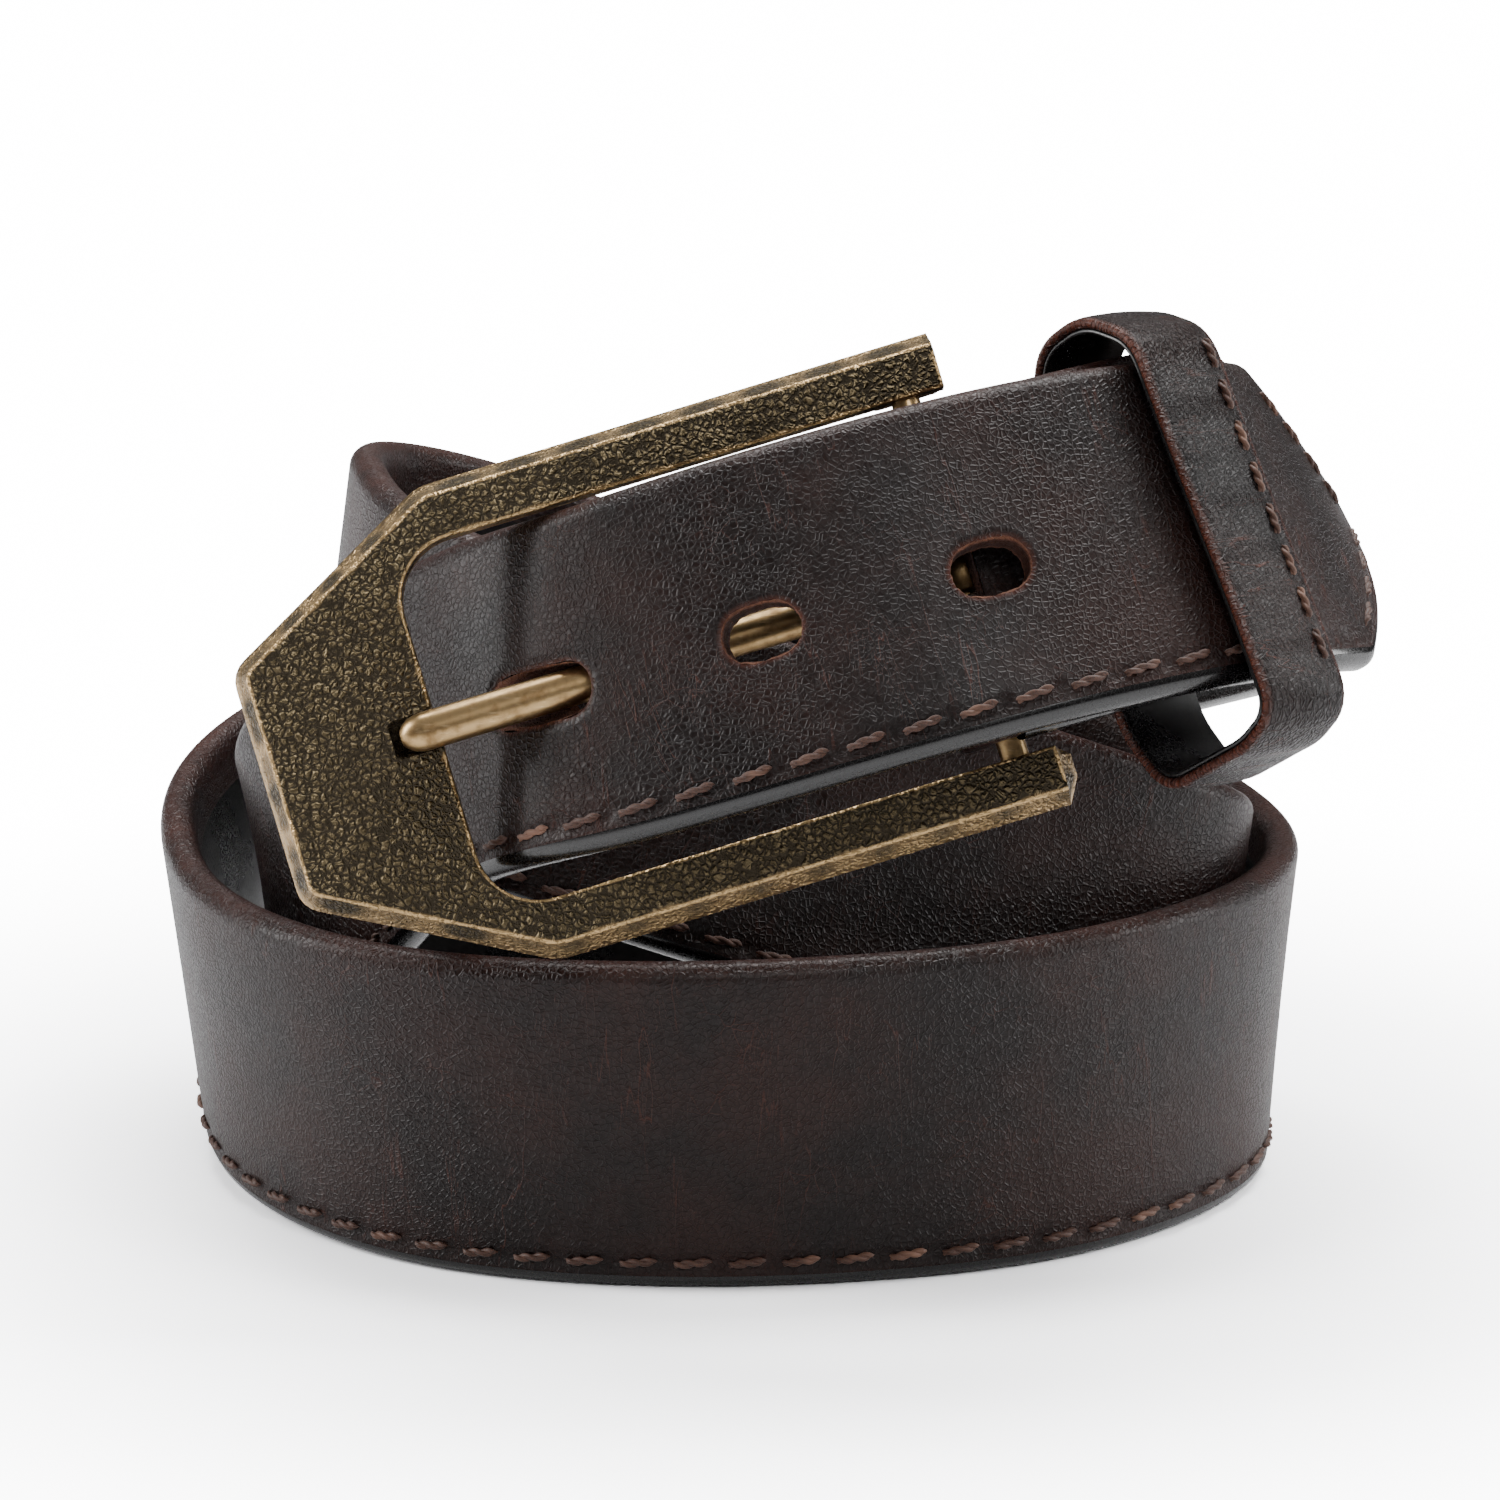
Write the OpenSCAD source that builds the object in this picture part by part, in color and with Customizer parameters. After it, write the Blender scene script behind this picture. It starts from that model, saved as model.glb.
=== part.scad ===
// A leather dress belt, coiled and buckled, resting on its lower edge.

/* [Strap] */
// Width of the strap
strap_w = 38; // [32:0.5:46]
// Thickness of the finished strap
strap_t = 4.2; // [3.4:0.1:5.2]
// Width of the whole coil, left to right
coil_w = 139; // [115:1:170]
// Thickness of the cover leather
cover_t = 1.5; // [1.2:0.1:1.6]
// Width of the cover turned over onto the inside
turn_w = 6; // [4:0.5:9]
// Length of the pointed tip
point_l = 17; // [12:1:22]

/* [Holes] */
// Distance from hole to hole
hole_pitch = 25; // [20:0.5:28]
// Length of each oval hole
hole_l = 8.8; // [7:0.2:10]
// Height of each oval hole
hole_h = 6.3; // [5.4:0.1:7.6]

/* [Buckle] */
// Length of the frame
buckle_l = 82; // [78:1:96]
// Thickness of the frame
frame_t = 3.8; // [3:0.1:4.6]
// Width of the two long arms
arm_w = 5; // [4.4:0.1:6.5]
// Width of the closed end of the frame
end_w = 18.4; // [16:0.2:22]
// Length of the corner cut, along the frame
cut_l = 24; // [18:1:30]
// Height of the corner cut, across the frame
cut_h = 13; // [9:0.5:15]
// Diameter of the heel bar
bar_d = 3.2; // [2.8:0.1:3.6]

/* [Tongue] */
// Diameter of the tongue
tongue_d = 4.3; // [3.6:0.1:4.8]

/* [Keeper] */
// Width of the keeper loop
keeper_w = 12; // [9:0.5:15]
// Thickness of the keeper loop
keeper_t = 1.9; // [1.5:0.1:2.4]

/* [Stitching] */
// Length of one stitch
stitch_l = 3.8; // [3:0.1:4.6]
// Height of a stitch above the leather
stitch_h = 0.5; // [0.35:0.05:0.7]

/* [Hidden] */
$fn = 48;
gap = 0.05;
half_w = strap_w / 2;
half_t = strap_t / 2;
core_n = half_t - cover_t - gap;
shift = [0.2, 0, 0];

// The coil, hand-set: x, y, rise of the lower edge, lean, and how many turns lie inside.
rows = [
    [24, -48, 62.8, 22, 2],
    [43, -40.5, 66.5, 25, 2],
    [55, -25, 66, 26, 2],
    [60.3, -5, 61, 22, 2],
    [61, 17, 53.5, 15, 2],
    [52, 40.5, 45.5, 7, 2],
    [32.5, 57, 35.5, 0, 2],
    [7, 64, 26.5, -5, 2],
    [-22, 62.5, 18.5, -7, 2],
    [-48, 53, 12, -7, 2],
    [-64, 35, 7.5, -7, 2],
    [-68, 12, 4, -7, 2],
    [-63.5, -15, 0.5, -7, 2],
    [-46, -38, -0.2, -6, 2],
    [-21, -48, -0.2, -3, 1],
    [9, -47, -0.2, 0, 1],
    [36, -38, -0.2, 2, 1],
    [55, -20, 0, 1, 1],
    [63, -1, 0.5, -4, 1],
    [60.5, 15.5, 2, -10, 1],
    [48, 34, 5.5, -12, 1],
    [24, 49, 14, -7, 1],
    [-9, 55.5, 27, 3, 1],
    [-38, 51.5, 38, 8, 0.7],
    [-50, 34, 43.5, 9, 0.3],
    [-47.5, 8, 46, 7, 0],
    [-42.5, -15, 45, 8, 0],
    [-29, -31, 42, 14, 0],
    [-7, -36, 36, 18, 0],
    [20, -28, 25, 14, 0],
    [45, -19, 14.5, 6, 0],
    [57, -7, 8, -3, 0],
    [55, 9, 2.5, -12, 0],
    [41, 20, -1.2, -18, 0],
    [18, 25, -1.4, -20, 0],
    [-8, 27, -1.4, -20, 0],
    [-35, 25, -0.8, -18, 0.3],
    [-53, 13, 3, -13, 1],
    [-57.5, -5, 12.5, -7, 1],
    [-48.5, -20, 26.5, 0, 1.5],
    [-35.2, -36.2, 44, 9, 2.3],
    [-19.7, -54, 51.5, 18, 3],
    [4, -59, 60.4, 24, 3],
    [28.5, -56, 66.8, 30, 3],
    [50, -45, 68.5, 34, 3],
    [63, -29.5, 65.5, 34, 3],
    [66.5, -16, 61.3, 31, 3]
];
last = len(rows) - 1;
scale_k = coil_w / 139;
rise_k = strap_w / 38;
ply_gap = (strap_t - 4.2) * 1.15 + (1 - scale_k) * 5.5;

function spread(r) = scale_k + r[4] * ply_gap / max(norm([r[0], r[1]]), 1);
function placed(r) = [r[0] * spread(r), r[1] * spread(r), r[2] * rise_k + half_w, r[3]];
ctl = [for (r = rows) placed(r)];
function c(i) = i < 0 ? 2 * ctl[0] - ctl[1] : (i > last ? 2 * ctl[last] - ctl[last - 1] : ctl[i]);

// Uniform cubic blend through the hand-set rows.
function along(u) =
    let (i = min(floor(u), last - 1), t = u - i)
    (pow(1 - t, 3) * c(i - 1) + (3 * pow(t, 3) - 6 * t * t + 4) * c(i)
     + (3 * t * t + 3 * t + 1 - 3 * pow(t, 3)) * c(i + 1) + pow(t, 3) * c(i + 2)) / 6;
function slope(u) =
    let (i = min(floor(u), last - 1), t = u - i)
    (-pow(1 - t, 2) * c(i - 1) + (3 * t * t - 4 * t) * c(i)
     + (1 + 2 * t - 3 * t * t) * c(i + 1) + t * t * c(i + 2)) / 2;
function xyz(v) = [v[0], v[1], v[2]];
function unit(v) = v / norm(v);

// Station: [place, along, across (up the width), out (through the thickness)].
function station(u) =
    let (p = along(u), t = unit(xyz(slope(u))), side = unit(cross(t, [0, 0, 1])),
         up = cross(side, t))
    [xyz(p) + shift, t, up * cos(p[3]) - side * sin(p[3]), side * cos(p[3]) + up * sin(p[3])];
function floor_z(p) = [p[0], p[1], max(p[2], 0)];
function on(s, n, w) = floor_z(s[0] + s[3] * n + s[2] * w);

// Distance along the strap, tabled once.
fine = [for (i = [0 : last * 8]) i / 8];
fine_p = [for (u = fine) xyz(along(u))];
steps = [for (i = [1 : len(fine) - 1]) norm(fine_p[i] - fine_p[i - 1])];
function sums(v, i = 0, acc = 0, out = []) =
    i >= len(v) ? concat(out, [acc]) : sums(v, i + 1, acc + v[i], concat(out, [acc]));
dist = sums(steps);
total = dist[len(dist) - 1];
u_of = [for (i = [0 : len(fine) - 1]) [dist[i], fine[i]]];
s_of = [for (i = [0 : len(fine) - 1]) [fine[i], dist[i]]];
function u_at(s) = lookup(s, u_of);
function s_at(u) = lookup(u, s_of);

// The pointed tip: straight sides and a small round nose.
nose = 3.5;
nose_w = 6.5 * rise_k;
function half_at(d) =
    d >= point_l ? half_w
    : (d >= nose ? nose_w + (half_w - nose_w) * (d - nose) / (point_l - nose)
       : max(0.9, nose_w * sqrt(1 - pow((nose - d) / nose, 2))));
tip_d = [point_l + 4, point_l, 13.5, 10, 7, 5, 3.5, 2.4, 1.4, 0.6, 0.15, 0];
tip_u = u_at(total - point_l - 8);
us = concat([for (i = [0 : floor(tip_u * 4)]) i / 4], [for (d = tip_d) u_at(total - d)]);
ss = concat([for (i = [0 : floor(tip_u * 4)]) total - s_at(i / 4)], tip_d);
stations = [for (u = us) station(u)];
squeeze = [for (d = ss) half_at(d) / half_w];

// A band swept through the stations. ring: [n, w] points, cap: triangles of the ring.
module sweep(ring, cap, st, sq) {
    m = len(ring);
    k = len(st);
    pts = [for (i = [0 : k - 1]) for (q = ring) on(st[i], q[0], q[1] * sq[i])];
    sides = [for (i = [0 : k - 2]) for (j = [0 : m - 1])
        let (a = i * m + j, h = (j + 1) % m, b = i * m + h)
        each (ring[j][1] > ring[h][1] ? [[a, b, a + m], [b, b + m, a + m]]
              : [[a, b, b + m], [a, b + m, a + m]])];
    start = [for (f = cap) [f[0], f[2], f[1]]];
    end = [for (f = cap) [f[0] + (k - 1) * m, f[1] + (k - 1) * m, f[2] + (k - 1) * m]];
    polyhedron(concat(pts), concat(sides, start, end));
}

// Cap for a ring made of an outer chain and then the inner chain walked back.
function strip_cap(m) =
    [for (i = [0 : m / 2 - 2]) each [[i, i + 1, m - 2 - i], [i, m - 2 - i, m - 1 - i]]];
roll = [0, 36, 72, 108, 144, 180];
roll_w = half_w - half_t;
in_r = half_t - cover_t;
foot_w = half_w - 1.7;
foot_in = half_w - 0.55;
turn_low = roll_w - turn_w + 2;
cover_ring = concat(
    [[half_t, -foot_w]],
    [for (a = roll) [half_t * cos(a), roll_w + half_t * sin(a)]],
    [[-half_t, turn_low], [-in_r, turn_low]],
    [for (i = [5 : -1 : 0]) [in_r * cos(roll[i]), roll_w + in_r * sin(roll[i])]],
    [[in_r, -foot_in]]);
core_ring = [[core_n, -foot_in], [core_n, roll_w], [-core_n, roll_w],
             [-core_n, turn_low - gap / 2], [-core_n, -foot_in]];
core_cap = [[0, 1, 2], [0, 2, 3], [0, 3, 4]];
lining_ring = [[-in_r, -foot_in], [-in_r, turn_low - gap], [-half_t, turn_low - gap],
               [-half_t, -foot_w]];
four = [[0, 1, 2], [0, 2, 3]];
paint_ring = [[-in_r, -foot_in - gap], [-half_t, -foot_w - gap], [0.5 - half_t, -half_w + 0.6],
              [-in_r - 0.15, -half_w], [in_r + 0.15, -half_w], [half_t - 0.5, -half_w + 0.6],
              [half_t, -foot_w - gap], [in_r, -foot_in - gap]];
paint_cap = [[0, 1, 2], [0, 2, 3], [0, 3, 4], [0, 4, 7], [7, 4, 5], [7, 5, 6]];

// The buckle's own frame: x along the frame, y up the bar, z outward.
tilt = 17;
first = station(0);
e_y = first[2];
e_x = first[1] * cos(tilt) + first[3] * sin(tilt);
e_z = cross(e_x, e_y);
bar_at = first[0] - first[3] * (bar_d / 2 + gap + half_t);
bar_z = -0.9;
origin = bar_at - e_z * bar_z;
module in_buckle() {
    multmatrix([[e_x[0], e_y[0], e_z[0], origin[0]], [e_x[1], e_y[1], e_z[1], origin[1]],
                [e_x[2], e_y[2], e_z[2], origin[2]], [0, 0, 0, 1]])
        children();
}
module in_fold() {
    multmatrix([[first[1][0], e_y[0], first[3][0], bar_at[0]],
                [first[1][1], e_y[1], first[3][1], bar_at[1]],
                [first[1][2], e_y[2], first[3][2], bar_at[2]], [0, 0, 0, 1]])
        children();
}
function in_frame(p) = [(p - origin) * e_x, (p - origin) * e_y, (p - origin) * e_z];

// The tongue's line, and the place where the strap crosses it.
frame_x = buckle_l - 4.4;
open_h = (strap_w + 3) / 2;
arm_y = open_h + arm_w;
inner_x = frame_x - end_w;
tongue_y = 0.8;
tongue_z0 = 0.8;
tongue_z1 = 2.7;
tongue_reach = inner_x + 2.7;
tongue_a = atan((tongue_z1 - tongue_z0) / tongue_reach);
function tongue_z(x) = tongue_z0 + (tongue_z1 - tongue_z0) * (-x) / tongue_reach;
function miss(s) = let (q = in_frame(station(u_at(s))[0])) abs(q[2] - tongue_z(q[0]));
search = [for (i = [0 : 120]) total - 80 - i * 0.5];
misses = [for (s = search) miss(s)];
best = min(misses);
used_s = [for (i = [0 : 120]) if (misses[i] == best) search[i]][0];
hole_s = [for (k = [-2 : 2]) used_s - 1.5 + k * hole_pitch];

module at_station(s) {
    multmatrix([[s[1][0], s[2][0], s[3][0], s[0][0]], [s[1][1], s[2][1], s[3][1], s[0][1]],
                [s[1][2], s[2][2], s[3][2], s[0][2]], [0, 0, 0, 1]])
        children();
}
module oval() {
    flat = (hole_l - hole_h) / 2;
    for (x = [-flat, flat]) {
        translate([x, 0, -4]) cylinder(d = hole_h, h = 8);
    }
    translate([-flat, -hole_h / 2, -4]) cube([2 * flat, hole_h, 8]);
}
module rod(extra, swing) {
    in_buckle()
        translate([0, tongue_y, bar_z])
        rotate([0, swing, 0])
        translate([0, 0, tongue_z0 - bar_z])
        rotate([0, -90 + tongue_a, 0])
        cylinder(d = tongue_d + extra, h = tongue_reach + 6);
}
module holes() {
    for (i = [0 : 4]) {
        at_station(station(u_at(hole_s[i]))) translate([0, -1, 0]) oval();
    }
    intersection() {
        at_station(station(u_at(used_s)))
            translate([-17, -4, -5.5])
            cube([34, 8, 11]);
        union() {
            rod(0.7, 0);
            rod(0.7, 1);
            rod(0.7, 2);
        }
    }
    slot();
}
// The slot the tongue's eye stands in, through the fold.
eye_r = bar_d / 2 + 1.6;
eye_w = 5;
slot_w = 6;
module slot() {
    in_fold()
        translate([-bar_d - strap_t - 3, tongue_y - slot_w / 2, -bar_d / 2 - strap_t - 2.4])
        cube([bar_d + strap_t + 3 + eye_r + 1.2, slot_w, bar_d + 2 * strap_t + 4.8]);
}

module strap_cover() {
    color([0.2, 0.13, 0.11])
        difference() {
            sweep(cover_ring, strip_cap(len(cover_ring)), stations, squeeze);
            holes();
        }
}

module strap_core() {
    color([0.3, 0.19, 0.14])
        difference() {
            sweep(core_ring, core_cap, stations, squeeze);
            holes();
        }
}

module strap_lining() {
    color([0.08, 0.07, 0.07])
        difference() {
            sweep(lining_ring, four, stations, squeeze);
            holes();
        }
}

module strap_edge_paint() {
    color([0.05, 0.04, 0.04]) sweep(paint_ring, paint_cap, stations, squeeze);
}

// Stitches lie on the flat between two stations, so they follow the leather exactly.
seam_w = half_w - 3.3;
thread_w = 1.1;
function mix(a, b, f) = a * (1 - f) + b * f;
function stitch_pts(a, b, w, f0, f1, n0, n1) = [
    for (g = [[f0, thread_w / 2, n0], [f1, thread_w / 2, n0], [f1, -thread_w / 2, n0],
              [f0, -thread_w / 2, n0], [f0 + 0.1, thread_w / 3, n1],
              [f1 - 0.1, thread_w / 3, n1], [f1 - 0.1, -thread_w / 3, n1],
              [f0 + 0.1, -thread_w / 3, n1]])
        mix(on(a, g[2], w + g[1]), on(b, g[2], w + g[1]), g[0])];
box_faces = [[0, 1, 2], [0, 2, 3], [7, 6, 5], [7, 5, 4], [0, 4, 5], [0, 5, 1],
             [1, 5, 6], [1, 6, 2], [2, 6, 7], [2, 7, 3], [3, 7, 4], [3, 4, 0]];
module stitches(list) {
    n = len(list);
    polyhedron([for (q = list) each q],
               [for (i = [0 : n - 1]) for (f = box_faces) [f[0] + 8 * i, f[2] + 8 * i, f[1] + 8 * i]]);
}
seam_n = [half_t + 0.14, half_t + stitch_h + 0.1];
seam_first = 2;
seam_last = floor(tip_u * 4) - 1;
function share(i) = let (l = norm(stations[i + 1][0] - stations[i][0])) min(stitch_l / l, 0.8) / 2;
module strap_seam_thread() {
    color([0.55, 0.36, 0.25])
        stitches([for (i = [seam_first : seam_last])
            stitch_pts(stations[i], stations[i + 1], -seam_w, 0.5 - share(i), 0.5 + share(i),
                       seam_n[0], seam_n[1])]);
}

// The V of stitches round the tip.
v_steps = [[16.5, 15.4], [12.9, 12], [9.3, 8.5], [5.8, 5.1]];
function v_pts(sgn, d, w) =
    let (a = station(u_at(total - d)), b = station(u_at(total - d + 2.3)),
         w0 = sgn * w * rise_k, w1 = sgn * (w - 2.2) * rise_k, h = thread_w / 2,
         n0 = half_t + 0.06, n1 = half_t + stitch_h)
    sgn < 0
    ? [on(a, n0, w0 + h), on(b, n0, w1 + h), on(b, n0, w1 - h), on(a, n0, w0 - h),
       on(a, n1, w0 + h / 2), on(b, n1, w1 + h / 2), on(b, n1, w1 - h / 2), on(a, n1, w0 - h / 2)]
    : [on(a, n0, w0 + h), on(b, n0, w1 + h), on(b, n0, w1 - h), on(a, n0, w0 - h),
       on(a, n1, w0 + h / 2), on(b, n1, w1 + h / 2), on(b, n1, w1 - h / 2), on(a, n1, w0 - h / 2)];
module tip_point_thread() {
    color([0.55, 0.36, 0.25])
        stitches([for (g = [-1, 1]) for (q = v_steps) v_pts(g, q[0], q[1] - 1)]);
}

// The strap's end turned round the heel bar, and the piece that runs back inside.
module fold_wrap() {
    r = bar_d / 2 + gap;
    color([0.21, 0.14, 0.11])
        difference() {
            in_fold()
                translate([-gap, 0, 0])
                rotate([-90, 0, 0])
                rotate([0, 0, 90])
                translate([0, 0, -half_w + 0.6])
                rotate_extrude(angle = 180)
                translate([r, 0])
                square([strap_t, strap_w - 1.2]);
            slot();
        }
}

return_t = 2.4;
return_gap = 0.3;
function closing(s) = let (f = min(s / 18, 1)) 1 - f * f * (3 - 2 * f);
lift_0 = bar_d + 2 * gap;
return_n = 10;
return_s = [for (i = [0 : return_n]) s_at(i / 4)];
return_st = [for (i = [0 : return_n]) stations[i]];
return_a = [for (s = return_s) -half_t - return_gap - (lift_0 - return_gap) * closing(s)];
return_b = [for (i = [0 : len(return_s) - 1])
    return_a[i] - return_t - (strap_t - return_t) * closing(return_s[i])];
module fold_return() {
    w = half_w - 0.6;
    k = len(return_s);
    pts = [for (i = [0 : k - 1]) each [on(return_st[i], return_a[i], -w),
        on(return_st[i], return_a[i], w), on(return_st[i], return_b[i], w),
        on(return_st[i], return_b[i], -w)]];
    sides = [for (i = [0 : k - 2]) for (j = [0 : 3])
        let (a = i * 4 + j, b = i * 4 + (j + 1) % 4) each [[a, b, b + 4], [a, b + 4, a + 4]]];
    color([0.21, 0.14, 0.11])
        difference() {
            polyhedron(pts, concat(sides, [[0, 2, 1], [0, 3, 2]],
                [[4 * k - 4, 4 * k - 3, 4 * k - 2], [4 * k - 4, 4 * k - 2, 4 * k - 1]]));
            slot();
        }
}

// Two rows of stitches across the end of the returned piece.
module fold_thread() {
    a = return_st[return_n - 1];
    b = return_st[return_n];
    n0 = return_b[return_n] - 0.06;
    n1 = return_b[return_n] - 0.45;
    color([0.55, 0.36, 0.25])
        stitches([for (f = [0.2, 0.75]) for (w = [-15 : 5 : 15])
            [for (g = [[-0.09, 1.7, n0], [-0.09, -1.7, n0], [0.09, -1.7, n0], [0.09, 1.7, n0],
                       [-0.05, 1.3, n1], [-0.05, -1.3, n1], [0.05, -1.3, n1], [0.05, 1.3, n1]])
                mix(on(a, g[2], w * rise_k + g[1]), on(b, g[2], w * rise_k + g[1]), f + g[0])]]);
}

// The keeper: one band round both layers of the strap, in the tip layer's own frame.
keeper_st = station(u_at(total - 33));
thick_k = strap_t - 4.2;
keeper_shape = [[half_t + 1.0, -half_w - 4], [half_t + 1.0, half_w + 0.8],
                [-half_t - 0.5, half_w + 5.6], [-half_t * 3 - 2.9 - 2 * thick_k, half_w + 5.6],
                [-half_t * 3 - 5.7 - 2 * thick_k, half_w + 1],
                [-half_t * 3 - 10.7 - 2 * thick_k, -half_w + 2.5],
                [-half_t * 3 - 7.9 - thick_k, -half_w - 5],
                [-1, -half_w - 5.6]];
module keeper_band(a, b, l) {
    at_station(keeper_st)
        rotate([0, 90, 0])
        rotate([0, 0, 90])
        translate([0, 0, -l / 2])
        linear_extrude(l)
        difference() {
            offset(r = b) polygon([for (q = keeper_shape) [q[1], q[0]]]);
            offset(r = a) polygon([for (q = keeper_shape) [q[1], q[0]]]);
        }
}

module keeper_cover() {
    color([0.2, 0.13, 0.11]) keeper_band(0.75, keeper_t, keeper_w, $fn = 24);
}

module keeper_lining() {
    color([0.08, 0.07, 0.07]) keeper_band(0.1, 0.7, keeper_w - 0.6, $fn = 24);
}

module keeper_thread() {
    n0 = half_t + 1.0 + keeper_t + 0.02;
    n1 = n0 + stitch_h - 0.1;
    x = keeper_w / 2 - 1.9;
    color([0.55, 0.36, 0.25])
        stitches([for (w = [-17.5 : 5 : 17.5])
            [for (g = [[-0.45, 1.7, n0], [0.45, 1.7, n0], [0.45, -1.7, n0], [-0.45, -1.7, n0],
                       [-0.25, 1.2, n1], [0.25, 1.2, n1], [0.25, -1.2, n1], [-0.25, -1.2, n1]])
                keeper_st[0] + keeper_st[1] * (x + g[0]) + keeper_st[2] * (w * rise_k + g[1])
                + keeper_st[3] * g[2]]]);
}

// Cast frame: an open-sided plate whose edges flare toward the back.
flare = 1.6;
lean_k = cut_h / cut_l;
slant = sqrt(1 + lean_k * lean_k);
function plate(f) = [
    [4.4, arm_y + f], [-frame_x + cut_l - (slant - 1) / lean_k * f, arm_y + f],
    [-frame_x - f, arm_y - cut_h + (slant - lean_k) * f],
    [-frame_x - f, -arm_y + cut_h - (slant - lean_k) * f],
    [-frame_x + cut_l - (slant - 1) / lean_k * f, -arm_y - f], [4.4, -arm_y - f]];
module plate_body() {
    polyhedron(concat([for (q = plate(flare)) [q[0], q[1], -frame_t / 2]],
                      [for (q = plate(0)) [q[0], q[1], frame_t / 2]]),
               concat([[0, 1, 2, 3, 4, 5]], [[11, 10, 9, 8, 7, 6]],
                      [for (i = [0 : 5]) let (j = (i + 1) % 6) [i + 6, j + 6, j, i]]));
}
lug_l = 8.4;
lug_back = frame_t / 2 + 1.8;
corner_r = 7;
module buckle_frame() {
    color([0.62, 0.5, 0.27])
        in_buckle()
        difference() {
            union() {
                plate_body();
                for (s = [-1, 1]) {
                    translate([4.4 - lug_l, s > 0 ? open_h : -arm_y, -lug_back])
                        cube([lug_l, arm_w, lug_back]);
                }
            }
            translate([corner_r - inner_x, -open_h, -6]) cube([inner_x + 12, 2 * open_h, 12]);
            translate([-inner_x, corner_r - open_h, -6])
                cube([corner_r + 1, 2 * (open_h - corner_r), 12]);
            for (s = [-1, 1]) {
                translate([corner_r - inner_x, s * (open_h - corner_r), -6])
                    cylinder(r = corner_r, h = 12);
            }
            translate([0, arm_y + 1, bar_z])
                rotate([90, 0, 0])
                cylinder(d = bar_d + 2 * gap, h = 2 * arm_y + 2);
            translate([0, tongue_y, tongue_z0])
                rotate([0, -90 + tongue_a, 0])
                cylinder(d = tongue_d + 0.3, h = tongue_reach + 2.4);
        }
}

module heel_bar() {
    color([0.55, 0.45, 0.26])
        in_buckle()
        translate([0, arm_y - 0.4, bar_z])
        rotate([90, 0, 0])
        cylinder(d = bar_d, h = 2 * arm_y - 0.8);
}

// Rod, rounded tip and the eye that turns on the heel bar.
module tongue_rod() {
    r = tongue_d / 2;
    rotate([0, -90 + tongue_a, 0])
        rotate_extrude()
        polygon(concat([[0, 0.6], [r, 0.6]],
                       [for (a = [0:15:75]) [r * cos(a), tongue_reach + r * sin(a)]],
                       [[0, tongue_reach + r]]));
}

module tongue() {
    color([0.7, 0.58, 0.33])
        in_buckle()
        difference() {
            union() {
                translate([0, tongue_y, tongue_z0]) tongue_rod();
                translate([0, tongue_y + eye_w / 2, bar_z])
                    rotate([90, 0, 0])
                    cylinder(r = eye_r, h = eye_w);
            }
            translate([0, arm_y, bar_z])
                rotate([90, 0, 0])
                cylinder(d = bar_d + 0.12, h = 2 * arm_y);
        }
}

strap_cover();
strap_core();
strap_lining();
strap_edge_paint();
strap_seam_thread();
tip_point_thread();
fold_wrap();
fold_return();
fold_thread();
keeper_cover();
keeper_lining();
keeper_thread();
buckle_frame();
heel_bar();
tongue();
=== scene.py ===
"""Looks of a coiled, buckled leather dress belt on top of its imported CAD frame."""

import logging
import math
from collections.abc import Callable
from dataclasses import dataclass
from enum import Enum

import bmesh
import bpy
import numpy as np
from mathutils import Matrix, Vector


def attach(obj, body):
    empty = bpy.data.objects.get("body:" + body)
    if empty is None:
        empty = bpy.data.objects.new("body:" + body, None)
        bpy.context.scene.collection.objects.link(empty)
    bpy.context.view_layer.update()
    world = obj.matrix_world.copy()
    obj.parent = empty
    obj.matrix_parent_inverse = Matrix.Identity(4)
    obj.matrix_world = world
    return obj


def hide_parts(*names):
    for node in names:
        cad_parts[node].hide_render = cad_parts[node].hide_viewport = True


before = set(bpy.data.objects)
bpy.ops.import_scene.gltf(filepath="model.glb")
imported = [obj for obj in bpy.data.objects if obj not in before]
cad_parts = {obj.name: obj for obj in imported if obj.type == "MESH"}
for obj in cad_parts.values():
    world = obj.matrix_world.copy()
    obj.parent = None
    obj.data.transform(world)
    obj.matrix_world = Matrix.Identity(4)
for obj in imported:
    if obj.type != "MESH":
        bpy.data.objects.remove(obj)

logging.basicConfig(level=logging.INFO, format="%(name)s: %(message)s")
log = logging.getLogger("belt")

MM = 0.001
STITCH_STEPS = 15
RIM_STEPS = 36


class Body(Enum):
    """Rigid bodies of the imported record."""

    STRAP = "strap"
    BUCKLE = "buckle"
    TONGUE = "tongue"


class Slot(Enum):
    """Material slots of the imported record."""

    COVER = "cover_leather"
    CORE = "core_leather"
    LINING = "lining_leather"
    EDGE = "edge_paint"
    THREAD = "thread"
    CAST = "aged_brass"
    BAR = "plain_brass"
    SATIN = "satin_brass"


@dataclass(frozen=True)
class StrapSizes:
    """Sizes of the strap, in millimetres."""

    width: float = 38.0
    thick: float = 4.2
    turn: float = 6.0
    point: float = 17.0
    nose: float = 3.5
    nose_half: float = 6.5
    seam_from_edge: float = 3.3
    stitch_pitch: float = 6.0
    stitch_length: float = 4.3
    hole_length: float = 8.8
    hole_height: float = 6.3
    hole_pitch: float = 25.0
    hole_drop: float = 1.0
    used_hole_from_tip: float = 111.1

    @property
    def half_w(self) -> float:
        """Half the strap's width."""
        return self.width / 2

    @property
    def half_t(self) -> float:
        """Half the strap's thickness."""
        return self.thick / 2

    @property
    def roll_w(self) -> float:
        """Height across the strap where the rolled top edge begins."""
        return self.half_w - self.half_t


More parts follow.
